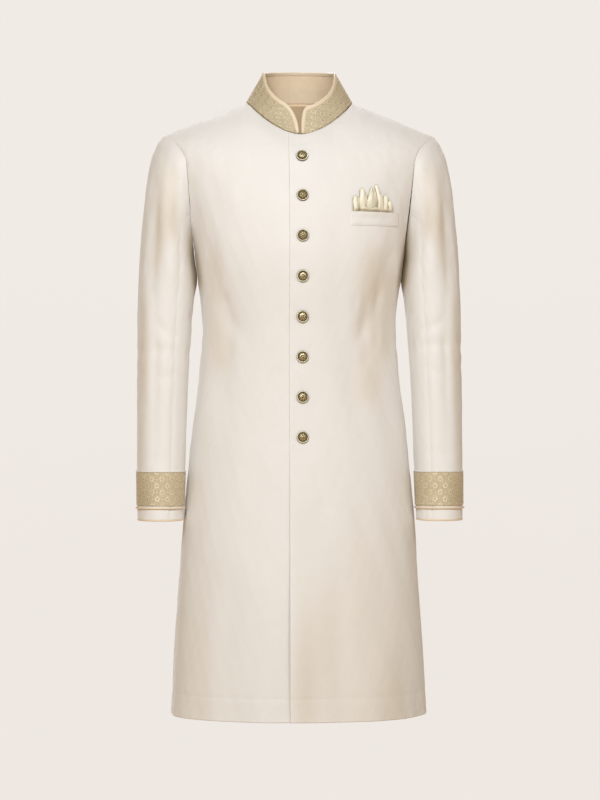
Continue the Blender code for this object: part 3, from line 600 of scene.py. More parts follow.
class Wire:
    """A shader socket. Arithmetic on it adds the Math nodes that it needs."""

    def __init__(self, finish, socket):
        self.finish = finish
        self.socket = socket

    def math(self, operation, *others):
        return self.finish.math(operation, self, *others)

    def __add__(self, other):
        return self.math("ADD", other)

    def __sub__(self, other):
        return self.math("SUBTRACT", other)

    def __rsub__(self, other):
        return self.finish.math("SUBTRACT", other, self)

    def __mul__(self, other):
        return self.math("MULTIPLY", other)

    def __abs__(self):
        return self.math("ABSOLUTE")

    __radd__ = __add__
    __rmul__ = __mul__

    def wave(self, length):
        """From 0 to 1 and back once in each length of this value."""
        return 0.5 + 0.5 * (self * (2 * math.pi / length)).math("COSINE")

    def step(self, low, high):
        """Soft step from 0 at low to 1 at high."""
        return self.finish.node("MapRange", {"interpolation_type": "SMOOTHSTEP"},
                                {"Value": self, "From Min": low, "From Max": high})


class Finish:
    """One material and the nodes that vary it."""

    def __init__(self, name, **constants):
        self.material = bpy.data.materials.new(name)
        self.material.use_nodes = True
        self.tree = self.material.node_tree
        self.shader = self.tree.nodes["Principled BSDF"]
        for label, value in constants.items():
            self.shader.inputs[label.replace("_", " ")].default_value = value

    def node(self, kind, settings=None, inputs=None, output=0):
        """A node: its settings first, then its sockets' values or links."""
        made = self.tree.nodes.new("ShaderNode" + kind)
        for name, value in (settings or {}).items():
            setattr(made, name, value)
        for key, value in (inputs or {}).items():
            self.join(value, made.inputs[key])
        return Wire(self, made.outputs[output])

    def join(self, value, socket):
        if isinstance(value, Wire):
            self.tree.links.new(value.socket, socket)
        else:
            socket.default_value = value

    def math(self, operation, *values):
        return self.node("Math", {"operation": operation}, dict(enumerate(values)))

    def blend(self, factor, first, second, how="MIX"):
        """Two colours mixed by a factor."""
        return self.node("Mix", {"data_type": "RGBA", "blend_type": how},
                         {MIX_FACTOR: factor, MIX_FIRST: first, MIX_SECOND: second},
                         MIXED_COLOUR)

    def cloth_place(self):
        """Where a point lies on its flat piece: across and down, in metres."""
        return self.split(self.node("UVMap", {"uv_map": CLOTH_MAP}), (0, 1))

    def split(self, place, axes):
        return (self.node("SeparateXYZ", {}, {0: place}, axis) for axis in axes)

    def noise(self, across, down, across_size, down_size, detail=2.0, seed=0.0):
        """Noise stretched to sizes in metres across and down the cloth."""
        place = self.node("CombineXYZ", {}, {0: across * (1 / across_size),
                                             1: down * (1 / down_size), 2: seed})
        return self.grain(place, 1.0, detail)

    def held(self, name):
        """A value that the mesh holds at each point."""
        return self.node("Attribute", {"attribute_name": name}, {}, ATTRIBUTE_VALUE)

    def object_place(self):
        return self.node("TexCoord", {}, {}, OBJECT_PLACE)

    def grain(self, place, scale, detail):
        return self.node("TexNoise", {}, {"Vector": place, "Scale": scale, "Detail": detail})

    def surface(self, colour=None, roughness=None, metallic=None, height=None,
                distance=0.0002, strength=1.0):
        """Feeds the shader what varies over the surface."""
        for label, value in (("Base Color", colour), ("Roughness", roughness),
                             ("Metallic", metallic)):
            if value is not None:
                self.join(value, self.shader.inputs[label])
        if height is not None:
            bump = self.node("Bump", {}, {"Strength": strength, "Distance": distance,
                                          "Height": height})
            self.join(bump, self.shader.inputs["Normal"])
        return self.material


CLOTH_MAP = "cloth"
# Lengths in which the threads repeat, in metres.
SILK_WARP = 0.00085
SILK_WEFT = 0.00095
TWILL = 0.0007
BROCADE_FLOAT = 0.00055
BROCADE_GROUND = 0.00060


def colour(red, green, blue):
    return (red, green, blue, 1.0)


def raw_silk(name, base, thread, slub):
    """Ivory dupion: a plain weave with uneven weft threads and a soft lustre."""
    finish = Finish(name, Sheen_Weight=0.40, Sheen_Roughness=0.45, Specular_IOR_Level=0.35)
    across, down = finish.cloth_place()
    warp = across.wave(SILK_WARP)
    weft = down.wave(SILK_WEFT)
    weave = warp * weft + (1 - warp) * (1 - weft)
    streak = finish.noise(across, down, 0.030, SILK_WARP, 3.0)
    fine = finish.noise(across, down, 0.0012, 0.020, 2.0, 4.0)
    cloud = finish.noise(across, down, 0.12, 0.16, 3.0, 9.0)
    slubs = streak.step(0.60, 0.74)
    tone = finish.blend(slubs * 0.55, base, slub)
    tone = finish.blend((weave * 0.5 + fine * 0.5).step(0.25, 0.8) * 0.35, tone, thread)
    tone = finish.blend(cloud.step(0.3, 0.7) * 0.30, tone, thread)
    tone = finish.blend(finish.held("edge") * 0.30, tone, slub)
    # Painted shade from the mesh's tone values: a warm tan where the cloth turns into shade, and
    # deep brown in the fold under the arm.
    painted_shade = finish.held("tone")
    tone = finish.blend(painted_shade.step(0.0, 1.0), tone, colour(0.915, 0.865, 0.79), "MULTIPLY")
    tone = finish.blend(painted_shade.step(0.7, 2.0), tone, colour(0.52, 0.43, 0.24), "MULTIPLY")
    height = weave * 0.45 + slubs * 0.9 + fine * 0.25
    roughness = 0.50 + 0.10 * streak - 0.08 * slubs + 0.05 * cloud
    return finish.surface(tone, roughness, height=height, distance=0.00012, strength=0.7)


def satin(name, base, deep, sheen=0.3, rough=0.36, rim=None):
    """Smooth satin with a fine twill and faint cloudiness."""
    finish = Finish(name, Sheen_Weight=sheen, Sheen_Roughness=0.35, Specular_IOR_Level=0.5)
    across, down = finish.cloth_place()
    line = (across + down * 0.5).wave(TWILL)
    cloud = finish.noise(across, down, 0.020, 0.028, 3.0, 2.0)
    thread = finish.noise(across, down, 0.0009, 0.012, 2.0, 5.0)
    tone = finish.blend((0.5 * cloud + 0.5 * thread).step(0.3, 0.75) * 0.6, base, deep)
    # rim, where given, is laid by the mesh's edge values: on the pocket square painted shade in
    # its folds and gaps, partly the rolled hem's darker edge.
    if rim:
        tone = finish.blend(finish.held("edge") * 0.95, tone, rim)
    roughness = rough + 0.10 * thread + 0.06 * cloud
    return finish.surface(tone, roughness, height=line * 0.6 + thread * 0.4,
                          distance=0.00008, strength=0.6)


REPEAT_ACROSS = 0.0170
REPEAT_DOWN = 0.0215
FLOWER_RADIUS = 0.0049


def flower(across, down, shift):
    """Masks of a small eight-petalled flower and its heart, once in each repeat."""
    a = ((across * (1 / REPEAT_ACROSS) + shift).math("FRACT") - 0.5) * REPEAT_ACROSS
    b = ((down * (1 / REPEAT_DOWN) + shift).math("FRACT") - 0.5) * REPEAT_DOWN
    radius = (a * a + b * b).math("SQRT") * (1 / FLOWER_RADIUS)
    turn = b.math("ARCTAN2", a)
    petals = 0.60 + 0.40 * abs((turn * 4).math("COSINE"))
    shape = (petals - radius).step(-0.06, 0.10)
    heart = (0.24 - radius).step(-0.05, 0.05)
    gap = (abs(radius - 0.34) * -1 + 0.06).step(-0.02, 0.03)
    return shape, heart, gap


def brocade():
    """Antique gold brocade: an ogee lattice with a flower in each field."""
    finish = Finish("gold_brocade_woven", Sheen_Weight=0.15, Sheen_Roughness=0.4,
                    Specular_IOR_Level=0.5)
    across, down = finish.cloth_place()
    p = across * (2 * math.pi / REPEAT_ACROSS)
    q = down * (2 * math.pi / REPEAT_DOWN)
    field = p.math("COSINE") + 0.82 * q.math("COSINE") + 0.30 * (q * 3).math("COSINE")
    lattice = (0.20 - abs(field)).step(-0.05, 0.08)
    vein = (0.05 - abs(field)).step(-0.03, 0.03)
    flowers, hearts, gaps = (first.math("MAXIMUM", second) for first, second in
                             zip(flower(across, down, 0.5), flower(across, down, 0.0)))
    raised = flowers.math("MAXIMUM", lattice) * (1 - vein * 0.7) * (1 - gaps * 0.8)
    float_thread = down.wave(BROCADE_FLOAT)
    ground_thread = (across + down).wave(BROCADE_GROUND)
    uneven = finish.noise(across, down, 0.006, 0.0012, 3.0, 1.0)
    cloud = finish.noise(across, down, 0.030, 0.030, 2.0, 7.0)
    ground = finish.blend(ground_thread * 0.5 + uneven * 0.4, colour(0.55, 0.45, 0.29),
                          colour(0.71, 0.60, 0.41))
    gold = finish.blend(float_thread * 0.6 + uneven * 0.4, colour(0.75, 0.61, 0.38),
                        colour(0.96, 0.85, 0.59))
    tone = finish.blend(raised, ground, gold)
    tone = finish.blend(hearts * 0.8, tone, colour(0.42, 0.30, 0.16))
    tone = finish.blend(cloud.step(0.35, 0.7) * 0.18, tone, colour(0.38, 0.30, 0.19))
    roughness = 0.52 - 0.14 * raised + 0.08 * uneven
    height = raised * 0.8 + float_thread * raised * 0.25 + ground_thread * 0.15 + uneven * 0.1
    return finish.surface(tone, roughness, 0.12 + 0.38 * raised, height, 0.00035, 0.9)


def antique_brass():
    """Cast brass, rubbed to a shine where it stands out and dark in its hollows, with a pale
    polished rim that is partly a painted highlight.
    """
    finish = Finish("antique_brass_cast", Specular_IOR_Level=0.5)
    rubbed = finish.held("rubbed")
    place = finish.object_place()
    grain = finish.grain(place, 900.0, 3.0)
    patch = finish.grain(place, 160.0, 2.0)
    shine = (rubbed + 0.35 * (patch - 0.5)).step(0.25, 0.85)
    # The rim: its polished pale gold, and partly a painted highlight, since its paler colour and
    # lower metallic make it read light as diffuse colour rather than by reflection.
    bright = finish.held("bright")
    tone = finish.blend(shine, colour(0.13, 0.112, 0.066), colour(0.56, 0.46, 0.27))
    tone = finish.blend(bright * shine, tone, colour(0.97, 0.90, 0.68))
    tone = finish.blend(grain.step(0.45, 0.8) * 0.22, tone, colour(0.30, 0.25, 0.14))
    return finish.surface(tone, 0.48 - 0.22 * shine + 0.10 * grain, 0.90 - 0.50 * bright,
                          grain, 0.00006, 0.5)


# ---------------------------------------------------------------- meshes
def rim_loop(rows, columns):
    """Indices round a grid's border, in order, each with its inner neighbour."""
    loop = [(0, c, 1, c) for c in range(columns - 1)]
    loop += [(r, columns - 1, r, columns - 2) for r in range(rows - 1)]
    loop += [(rows - 1, c, rows - 2, c) for c in range(columns - 1, 0, -1)]
    loop += [(r, 0, r, 1) for r in range(rows - 1, 0, -1)]
    return np.array(loop)


def row_loop(row, beside, columns):
    return np.array([(row, c, beside, c) for c in range(columns)])


def grid_faces(rows, columns, ring=True):
    """The quads of a grid of points. ring joins its last column to its first."""
    wide = columns if ring else columns - 1
    row, column = np.meshgrid(np.arange(rows - 1), np.arange(wide), indexing="ij")
    here, next_one = row * columns + column, row * columns + (column + 1) % columns
    return np.stack((here, next_one, next_one + columns, here + columns), axis=-1).reshape(-1, 4)


def wall(outer, inner, flat, ring=False, free=None, edge=None, tone=None):
    """Points, faces, flat places, held values and the faces' sides of a closed wall
    of cloth between two skins, with a rounded rim. free is a mask of the points
    where the rim is a free, rounder edge."""
    rows, columns = outer.shape[:2]
    count = rows * columns
    loops = ([row_loop(0, 1, columns), row_loop(rows - 1, rows - 2, columns)] if ring
             else [rim_loop(rows, columns)])
    points = [outer.reshape(-1, 3), inner.reshape(-1, 3)]
    flats = [flat.reshape(-1, 2)] * 2
    # Held values: edge is wear along edges, and on the pocket square its darker hem edges and
    # painted shade; tone is painted shade.
    values = {label: [np.zeros(count) if value is None else value.ravel()] * 2
              for label, value in (("edge", edge), ("tone", tone))}
    quads = grid_faces(rows, columns, ring)
    faces = [quads, quads[:, ::-1] + count]
    start = 2 * count
    for loop in loops:
        at = loop[:, 0] * columns + loop[:, 1]
        beside = loop[:, 2] * columns + loop[:, 3]
        middle = (points[0][at] + points[1][at]) / 2
        away = unit(middle - (points[0][beside] + points[1][beside]) / 2)
        thick = np.linalg.norm(points[0][at] - points[1][at], axis=1)
        out = np.full(len(at), SEWN_BULGE)
        if free is not None:
            out = np.where(free.ravel()[at], thick * FREE_BULGE, SEWN_BULGE)
        points.append(middle + away * out[:, None])
        for parts in (flats, *values.values()):
            parts.append(parts[0][at])
        rim = start + np.arange(len(at))
        after, rim_after = np.roll(at, -1), np.roll(rim, -1)
        faces.append(np.stack((at, rim, rim_after, after), axis=-1))
        faces.append(np.stack((rim, at + count, after + count, rim_after), axis=-1))
        start += len(at)
    sides = [np.full(len(part), number % 2) for number, part in enumerate(faces)]
    held = {label: np.concatenate(parts) for label, parts in values.items()}
    return (*(np.concatenate(parts) for parts in (points, faces, flats)), held,
            np.concatenate(sides))


def shell(name, outer, inner, flat, finishes, **looks):
    return surface_mesh(name, finishes, *wall(outer, inner, flat, **looks))


def surface_mesh(name, finishes, points, faces, flats, values=None, sides=None):
    """A mesh object with its flat map and the values that it holds by point. sides
    gives the number of each face's finish."""
    mesh = bpy.data.meshes.new(name)
    mesh.vertices.add(len(points))
    mesh.vertices.foreach_set("co", np.asarray(points, np.float32).ravel())
    sizes = np.array([len(face) for face in faces])
    corners = np.concatenate([np.asarray(face) for face in faces])
    mesh.loops.add(len(corners))
    mesh.loops.foreach_set("vertex_index", corners.astype(np.int32))
    mesh.polygons.add(len(sizes))
    mesh.polygons.foreach_set("loop_start", np.cumsum(sizes) - sizes)
    mesh.update(calc_edges=True)
    mesh.validate()
    layer = mesh.uv_layers.new(name=CLOTH_MAP)
    layer.uv.foreach_set("vector", np.asarray(flats, np.float32)[corners].ravel())
    for finish in finishes:
        mesh.materials.append(finish)
    if sides is not None:
        mesh.polygons.foreach_set("material_index", np.asarray(sides, np.int32))
    for label, value in (values or {}).items():
        mesh.attributes.new(label, "FLOAT", "POINT").data.foreach_set(
            "value", np.asarray(value, np.float32))
    turner = bmesh.new()
    turner.from_mesh(mesh)
    bmesh.ops.recalc_face_normals(turner, faces=turner.faces)
    turner.to_mesh(mesh)
    turner.free()
    mesh.shade_smooth()
    item = bpy.data.objects.new(name, mesh)
    bpy.context.scene.collection.objects.link(item)
    return item


def lengths(points, axis=0):
    """Distances along one axis of a path or a grid of points."""
    steps = np.linalg.norm(np.diff(points, axis=axis), axis=-1)
    return np.insert(np.cumsum(steps, axis=axis), 0, 0, axis=axis)


def flat_map(grid, first_column=0):
    """Distances across and down a grid, in metres, from one of its columns."""
    across = lengths(grid, 1)
    across = across - across[:, first_column:first_column + 1]
    return np.stack((across, lengths(grid)), axis=-1)


def mirror(points):
    return points * np.array((-1.0, 1.0, 1.0))


# ---------------------------------------------------------------- pieces
def settle(item, node):
    """Declares what a piece rides on and which node it stands for."""
    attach(item, "root")
    if node:
        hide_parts(node)
        item.name = f"{node}_piece"


PANEL_REACH = 0.30        # metres that a panel's shares and a yoke's places stand for
YOKE_REACH = 0.13
PUCKER_PITCH = 620        # how closely the armhole's seam puckers, and how deep
PUCKER = 0.00022
LAP_OPENING = 0.0062      # how far the lapping edge stands away low down
LAP_OPENING_TOP = -0.53


def beside(at, toward):
    """Closer values next to a seam's own."""
    return at + toward * np.array(EDGE_STEPS)


def ordered(*parts):
    """All the values in order, each of them once."""
    return np.unique(np.round(np.concatenate(parts), 6))


def panel_shares(half):
    neck = np.linspace(0, NECK_SHARE, PANEL_NECK_COLUMNS, endpoint=False)
    rest = np.linspace(NECK_SHARE, 1, PANEL_SHOULDER_COLUMNS)
    if half == "back":
        return ordered(neck, rest, beside(1, -1), beside(0, 1))
    lap = np.linspace(-1, 0, PANEL_OVERLAP_COLUMNS, endpoint=False)
    return ordered(neck, rest, beside(1, -1), lap, LAP_COLUMNS)


def panel_places():
    return ordered(np.linspace(0, 1, YOKE_ROWS, endpoint=False),
                   np.linspace(1, 2, ARMHOLE_ROWS, endpoint=False),
                   np.linspace(2, 3, SKIRT_ROWS), SHOULDER_ROWS, 3 - np.array(HEM_ROWS))


def seam_dip(distance):
    return -SEAM_DEPTH * np.exp(-((distance / SEAM_WIDTH) ** 2))


def drape(points, normals):
    """How far folds and unevenness move a body panel's skin outwards."""
    relief = crease_relief(points, normals, BODY_CREASES)
    relief += ripple(points, PANEL_SWELL) + ripple(points, PANEL_RUCKS)
    low = smooth((SKIRT_SWELL_TOP - points[..., 2]) / 0.5)
    return relief + low * ripple(points, SKIRT_SWELL)


def build_panel(panel, finishes):
    """A front or a back: side is 1 for the wearer's left and -1 for the right."""
    half, side, lapped = panel.half, panel.side, panel.lapped
    shares, places = panel_shares(half), panel_places()
    skin = tucked(body_grid(half, shares, places), -1)
    normals = grid_normals(skin) * sign_of(half)
    centre = np.argmin(np.abs(shares))
    if half == "back":
        normals[:, centre, 0] = 0
        normals = unit(normals)
    flat = flat_map(skin, centre)
    if lapped:
        level = unit(normals * np.array((1.0, 1.0, 0.0)))
        stand = (CLOTH + GAP) * (1 - smooth((skin[..., 0] - OVERLAP) / LAP_BLEND))
        skin = skin + level * (stand / (level * normals).sum(-1))[..., None]
    seen = skin if side > 0 else mirror(skin)
    facing = normals if side > 0 else mirror(normals)
    relief = drape(seen, facing)
    # Painted shade for this panel's colour.
    tone = painted_shade_amount(seen, facing, BODY_PAINTED_SHADE)
    relief += seam_dip((1 - shares) * PANEL_REACH) + seam_dip(places * YOKE_REACH)[:, None]
    relief -= (0.0004 * np.exp(-(((3 - places - HEM_TURN) / 0.004) ** 2)))[:, None]
    relief += PUCKER * np.sin(places * PUCKER_PITCH)[:, None] * np.exp((shares - 1) * 26)
    if half == "back":
        relief += seam_dip(shares * PANEL_REACH)
    if lapped:
        relief += lap_opening(skin)
    outer = skin + normals * relief[..., None]
    step = normals * CLOTH
    arm = places <= 2
    mitre, reach = armhole_mitre(half, places[arm], normals[arm, -1])
    step[arm, -1] = mitre * (CLOTH / reach)
    shoulder = (places == 0)[:, None] & (shares >= NECK_SHARE) & (shares < 1)
    level_step = unit(normals * np.array((1.0, 0.0, 1.0))) * CLOTH
    inner = outer - np.where(shoulder[..., None], level_step, step)
    sewn = ("last", "top", "first") if half == "back" else ("last", "top")
    outer, inner = drawn_in((outer, inner), sewn, side)
    free = np.zeros(outer.shape[:2], bool)
    free[-1] = True
    if half == "front":
        free[:, 0] = True
    worn = np.exp((places - 3) * (UNDERARM_HEIGHT - HEM_HEIGHT) / 0.006)[:, None]
    worn = np.maximum(worn, np.exp(-(shares + 1) * OVERLAP / 0.004) * (half == "front"))
    item = shell(panel.name, outer, inner, flat, finishes, free=free, edge=worn, tone=tone)
    settle(item, panel.name)
    return outer


def lap_opening(skin):
    """Below the last button the lapping edge stands away a little."""
    low = smooth((LAP_OPENING_TOP - skin[..., 2]) / 0.30)
    near = 1 - smooth((skin[..., 0] + OVERLAP) / 0.060)
    sway = 0.7 + 0.3 * np.sin(skin[..., 2] * 21 + 1.0)
    return LAP_OPENING * low * near * sway


# The edges of a grid: its axis, its own row or column and the next one in.
Edge = namedtuple("Edge", "axis own next")
EDGES = {"top": Edge(0, 0, 1), "first": Edge(1, 0, 1), "last": Edge(1, -1, -2)}


def drawn_in(skins, sewn, side):
    """Skins with their sewn edges drawn in by half the gap that parts two pieces,
    mirrored for the wearer's right."""
    result = []
    for skin in skins:
        skin = skin.copy()
        for edge in (EDGES[name] for name in sewn):
            lines = skin.swapaxes(0, edge.axis)
            lines[edge.own] += unit(lines[edge.next] - lines[edge.own]) * GAP / 2
        result.append(skin if side > 0 else mirror(skin))
    return result


SLEEVE_GIRTH = 0.264      # metres that the long seams' dips take for a full turn


def build_sleeve(name, half, side, finishes):
    """One of a sleeve's two pieces, between two angles round it."""
    places = ordered(np.linspace(0, 1, SLEEVE_ROWS) ** 0.85 * 10, SLEEVE_EXTRA_ROWS)
    share = np.sort((*np.linspace(0, 1, half.columns), *SLEEVE_EXTRA_COLUMNS))
    turns = mix(half.first, half.last, share)
    skin = tucked(sleeve_grid(turns, places), 1)
    normals = grid_normals(skin)
    flat = flat_map(skin)
    drop, end_drop = (0, 0) if side > 0 else RIGHT_CREASE_DROP
    worn_in = [crease._replace(start=(crease.start[0], crease.start[1] - drop),
                               end=(crease.end[0], crease.end[1] - end_drop))
               for crease in SLEEVE_CREASES]
    relief = crease_relief(skin, normals, worn_in)
    relief += ripple(skin + (0 if side > 0 else RIGHT_SHIFT), SLEEVE_SWELL)
    relief += ripple(skin, SLEEVE_RUCKS)
    ends = smooth(places / 0.6) * smooth((8.1 - places) / 0.6)
    relief *= ends[:, None]
    cap = np.exp(-(((places - 0.30) / 0.28) ** 2)) * 0.0016
    relief += cap[:, None] * np.clip(np.cos(np.radians(turns)), 0, 1) ** 0.7
    relief += seam_dip(places * 0.020)[:, None]
    long_seam = np.minimum(share, 1 - share) * (half.last - half.first) / 360 * SLEEVE_GIRTH
    relief += seam_dip(long_seam) * smooth(places / 0.5)[:, None]
    outer = skin + normals * relief[..., None]
    step = normals * CLOTH
    step[0] = sleeve_mitre(turns, normals[0])
    skins = drawn_in((outer, outer - step), ("first", "last", "top"), side)
    free = np.zeros(skin.shape[:2], bool)
    free[-1] = True
    worn = np.exp((places - 10) / 0.5)[:, None] * np.ones(len(turns))
    # Painted shade for this sleeve's colour.
    tone = painted_shade_amount(skin, normals, SLEEVE_PAINTED_SHADE)
    item = shell(name, *skins, flat, finishes, free=free, edge=worn, tone=tone)
    settle(item, name)


def sleeve_mitre(turns, normals):
    """The sleeve's inward step at the armhole, halfway to the body's wall."""
    steps = []
    for turn, normal in zip(np.mod(turns, 360), normals):
        half = "front" if turn <= 180 else "back"
        place = 2 * (min(turn, 360 - turn) / 180) ** ARMHOLE_SPREAD
        near = np.clip(np.array((place - 0.01, place, place + 0.01)), 0, 3)
        patch = body_grid(half, np.array((0.99, 0.995, 1.0)), near)
        body = grid_normals(patch)[1, 2] * sign_of(half)
        steps.append(unit(body + normal))
    return np.array(steps) * CLOTH


BAND_ROUNDING = 0.012
BAND_EDGE_RADIUS = 0.0010
BAND_STITCH_PLACES = (8.07, 8.93)


def build_cuffs(side, finishes):
    """The brocade band, its light edge, the cord under it and the end's edging."""
    label = "left" if side > 0 else "right"
    turns = np.linspace(0, 360, 180, endpoint=False)

    def on_sleeve(place, out):
        near = sleeve_grid(turns, np.array((place - 0.02, place, min(place + 0.02, 10.0))))
        normals = grid_normals(near, ring=True)[1]
        grid = near[1] + normals * out
        return grid if side > 0 else mirror(grid)

    places = np.concatenate(([8.0, 8.012, 8.035], np.linspace(8.07, 8.93, 22),
                             [8.965, 8.988, 9.0]))
    round_off = 1 - np.exp(-np.minimum(places - 8, 9 - places) / BAND_ROUNDING)
    outer = np.array([on_sleeve(place, GAP + TRIM * mix(0.65, 1.0, soft))
                      for place, soft in zip(places, round_off)])
    inner = np.array([on_sleeve(place, GAP) for place in places])
    flat = flat_map(outer)
    band = shell(f"cuff_band_{label}", outer, inner, flat, [finishes["brocade"]] * 2, ring=True)
    settle(band, f"cuff_band_{label}")

    light = tube(f"cuff_band_edge_{label}", on_sleeve(7.985, GAP + 0.0009), BAND_EDGE_RADIUS,
                 finishes["silk"])
    settle(light, None)
    drop = (CUFF_BAND_BOTTOM - CUFF_CORD_HEIGHT) / (CUFF_BAND_BOTTOM - SLEEVE_END)
    paths = {f"cuff_cord_{label}": on_sleeve(9 + drop, GAP + PIPING_RADIUS),
             f"cuff_edge_{label}": on_sleeve(9.99, -CLOTH / 2) - UP * (GAP + PIPING_RADIUS)}
    for name, path in paths.items():
        settle(tube(name, path, PIPING_RADIUS, finishes["peach"]), name)
    rows = [outward_row(outer, np.argmin(np.abs(places - place)), closed=True)
            for place in BAND_STITCH_PLACES]
    stitch_rows(f"cuff_stitches_{label}", rows, finishes["binding"])


TUBE_SIDES = 10


def tube(name, path, radius, finish):
    """A round cord along a closed path of points."""
    ahead = unit(np.roll(path, -1, axis=0) - np.roll(path, 1, axis=0))
    side = unit(UP - ahead * (ahead @ UP)[:, None])
    other = np.cross(ahead, side)
    turn = np.linspace(0, 2 * np.pi, TUBE_SIDES, endpoint=False)
    points = (path[:, None] + (side[:, None] * np.cos(turn)[None, :, None]
                               + other[:, None] * np.sin(turn)[None, :, None]) * radius)
    flat = joined(turn[None, :] * radius, lengths(path)[:, None])
    faces = grid_faces(len(path) + 1, TUBE_SIDES) % (len(path) * TUBE_SIDES)
    return surface_mesh(name, [finish], points.reshape(-1, 3), faces, flat.reshape(-1, 2))


# ---------------------------------------------------------------- the collar
def collar_frames(angles):
    """Seam points, level outward directions and leans at angles round the neck."""
    def seam(at):
        side = np.radians(at)
        front = neck_points("front", np.minimum(side, np.pi / 2))
        back = neck_points("back", np.pi - np.maximum(side, np.pi / 2))
        return np.where((at <= 90)[:, None], front, back)

    ahead = (seam(np.minimum(angles + COLLAR_SPAN, 180))
             - seam(np.maximum(angles - COLLAR_SPAN, 0)))
    ahead = np.where((angles + COLLAR_SPAN > 180)[:, None], np.array((-1.0, 0, 0)), ahead)
    out = unit(joined(ahead[:, 1], -ahead[:, 0], np.zeros(len(angles))))
    end = np.where(angles <= 90, COLLAR_LEAN["front"], COLLAR_LEAN["back"])
    lean = mix(end, COLLAR_LEAN["side"], np.sin(np.radians(angles)) ** 2)
    return seam(angles), out, np.radians(lean)


def collar_heights(angles, side):
    wing = WINGS[side]
    turn = np.clip((angles - wing.gap) / (wing.round_angle - wing.gap), 0, 1)
    rounded = (1 - (1 - turn) ** wing.rounding) ** (1 / wing.rounding)
    full = along(COLLAR_HEIGHTS, "height", angles)
    return np.maximum(full * rounded, COLLAR_END_HEIGHT)


def collar_half(side, rises, depth):
    """Points of one half, unmirrored, depth metres in from the outer face; rises
    are shares of the stand's height."""
    angles = collar_angles(side)
    seam, out, lean = collar_frames(angles)
    up = UP * np.cos(lean)[:, None] - out * np.sin(lean)[:, None]
    climb = GAP + collar_heights(angles, side)[None, :] * rises[:, None]
    inward = -out * (depth / np.cos(lean))[:, None]
    return seam + up * climb[..., None] + inward


def collar_skin(rises, depth):
    """Both halves, joined at the centre back."""
    return np.concatenate((collar_half(1, rises, depth),
                           mirror(collar_half(-1, rises, depth)[:, -2::-1])), axis=1)


def collar_angles(side):
    gap = WINGS[side].gap
    return gap + (180 - gap) * np.linspace(0, 1, 110) ** 1.4


Layer = namedtuple("Layer", "name finish slot depth length area")
COLLAR_LAYERS = (
    Layer("collar", "brocade", "gold_brocade", 0.0, 0.482, 0.0213),
    Layer("collar_lining", "peach", "peach_satin", TRIM + GAP, 0.472, 0.0209),
)


def build_collar(finishes):
    rises = np.linspace(0, 1, 18)
    flat = flat_map(collar_skin(rises, 0.0)[::-1])[::-1]
    for layer in COLLAR_LAYERS:
        outer, inner = (collar_skin(rises, layer.depth + inset) for inset in (0.0, TRIM))
        item = shell(layer.name, outer, inner, flat, [finishes[layer.finish]] * 2)
        settle(item, layer.name)
    build_binding(finishes)


BINDING_LAP = 0.0046          # how far the binding reaches down the collar's faces
BINDING_END_LAP = 0.0020
BINDING_EASE = 0.0004
BINDING_CROWN = 0.0014
BINDING_WALL = 0.00025


def build_binding(finishes):
    """The satin binding folded over the collar's top and front edges."""
    halves = []
    for side in (1, -1):
        _, out, lean = collar_frames(collar_angles(side))
        end = collar_half(side, np.linspace(0.12, 0.9, 6), 0.0)[:, 0]
        path = np.concatenate((end, collar_half(side, np.array((1.0,)), 0.0)[0]))
        face = np.concatenate((np.repeat(out[:1], len(end), axis=0), out))
        tilt = np.concatenate((np.repeat(lean[:1], len(end)), lean))
        halves.append((path, face, tilt))
    (*near, tilt), (*far, far_tilt) = halves
    path, face = (np.concatenate((left, mirror(right[-2::-1])))
                  for left, right in zip(near, far))
    tilt = np.concatenate((tilt, far_tilt[-2::-1]))
    ahead = unit(np.gradient(path, axis=0))
    across = unit(face * np.cos(tilt)[:, None] + UP * np.sin(tilt)[:, None])
    outward = unit(np.cross(across, ahead))
    outward = np.where(outward[:, 2:] < -0.2, -outward, outward)
    thick = 2 * TRIM + GAP
    place = np.arange(len(path))
    ends = smooth(place / 8) * smooth((len(path) - 1 - place) / 8)
    lap = mix(BINDING_END_LAP, BINDING_LAP, ends)
    skirt = np.linspace(1, 0, 5)[:-1]
    profile = [(GAP * 0.9 + BINDING_EASE * (1 - share), -share) for share in skirt]
    for turn in np.linspace(0, math.pi, 9):
        profile.append((mix(GAP + BINDING_EASE, -thick - GAP - BINDING_EASE,
                            (1 - math.cos(turn)) / 2), math.sin(turn)))
    profile += [(-thick - GAP * 0.9 - BINDING_EASE * (1 - share), -share)
                for share in skirt[::-1]]
    rows = []
    for side, rise in profile:
        lift = lap * rise if rise < 0 else np.full(len(path), BINDING_CROWN * rise)
        rows.append(path + across * side + outward * (lift + BINDING_EASE)[:, None])
    grid = np.array(rows)
    turned = np.sign((grid_normals(grid)[6] * outward).sum())
    under = grid - turned * grid_normals(grid) * BINDING_WALL
    item = shell("collar_piping", grid, under, flat_map(grid), [finishes["binding"]] * 2)
    settle(item, "collar_piping")


FACING_RISE = 0.0016
FACING_STEP = 0.0014


def build_neck_facing(finishes):
    """The satin facing inside the back of the neck."""
    shares = np.linspace(0, NECK_SHARE, 40)
    places = np.linspace(0, 0.75, 26)
    skin = body_grid("back", shares, places)
    normals = grid_normals(skin)
    normals[:, 0, 0] = 0
    normals = unit(normals)
    ease = 0.0004 + ripple(skin, FACING_SWELL)
    both = []
    for inset in (CLOTH + GAP, CLOTH + GAP + TRIM):
        left = skin - normals * (inset + ease)[..., None]
        left[:, -1] += unit(left[:, -2] - left[:, -1]) * 0.0006
        rise = np.exp(-places / 0.03)[:, None, None]
        toward = unit(left * np.array((-1.0, -1.0, 0.0)))
        left = left + rise * (UP * FACING_RISE + toward * FACING_STEP)
        both.append(np.concatenate((mirror(left[:, :0:-1]), left), axis=1))
    item = shell("neck_facing", *both, flat_map(both[0]), [finishes["facing"]] * 2)
    settle(item, "neck_facing")


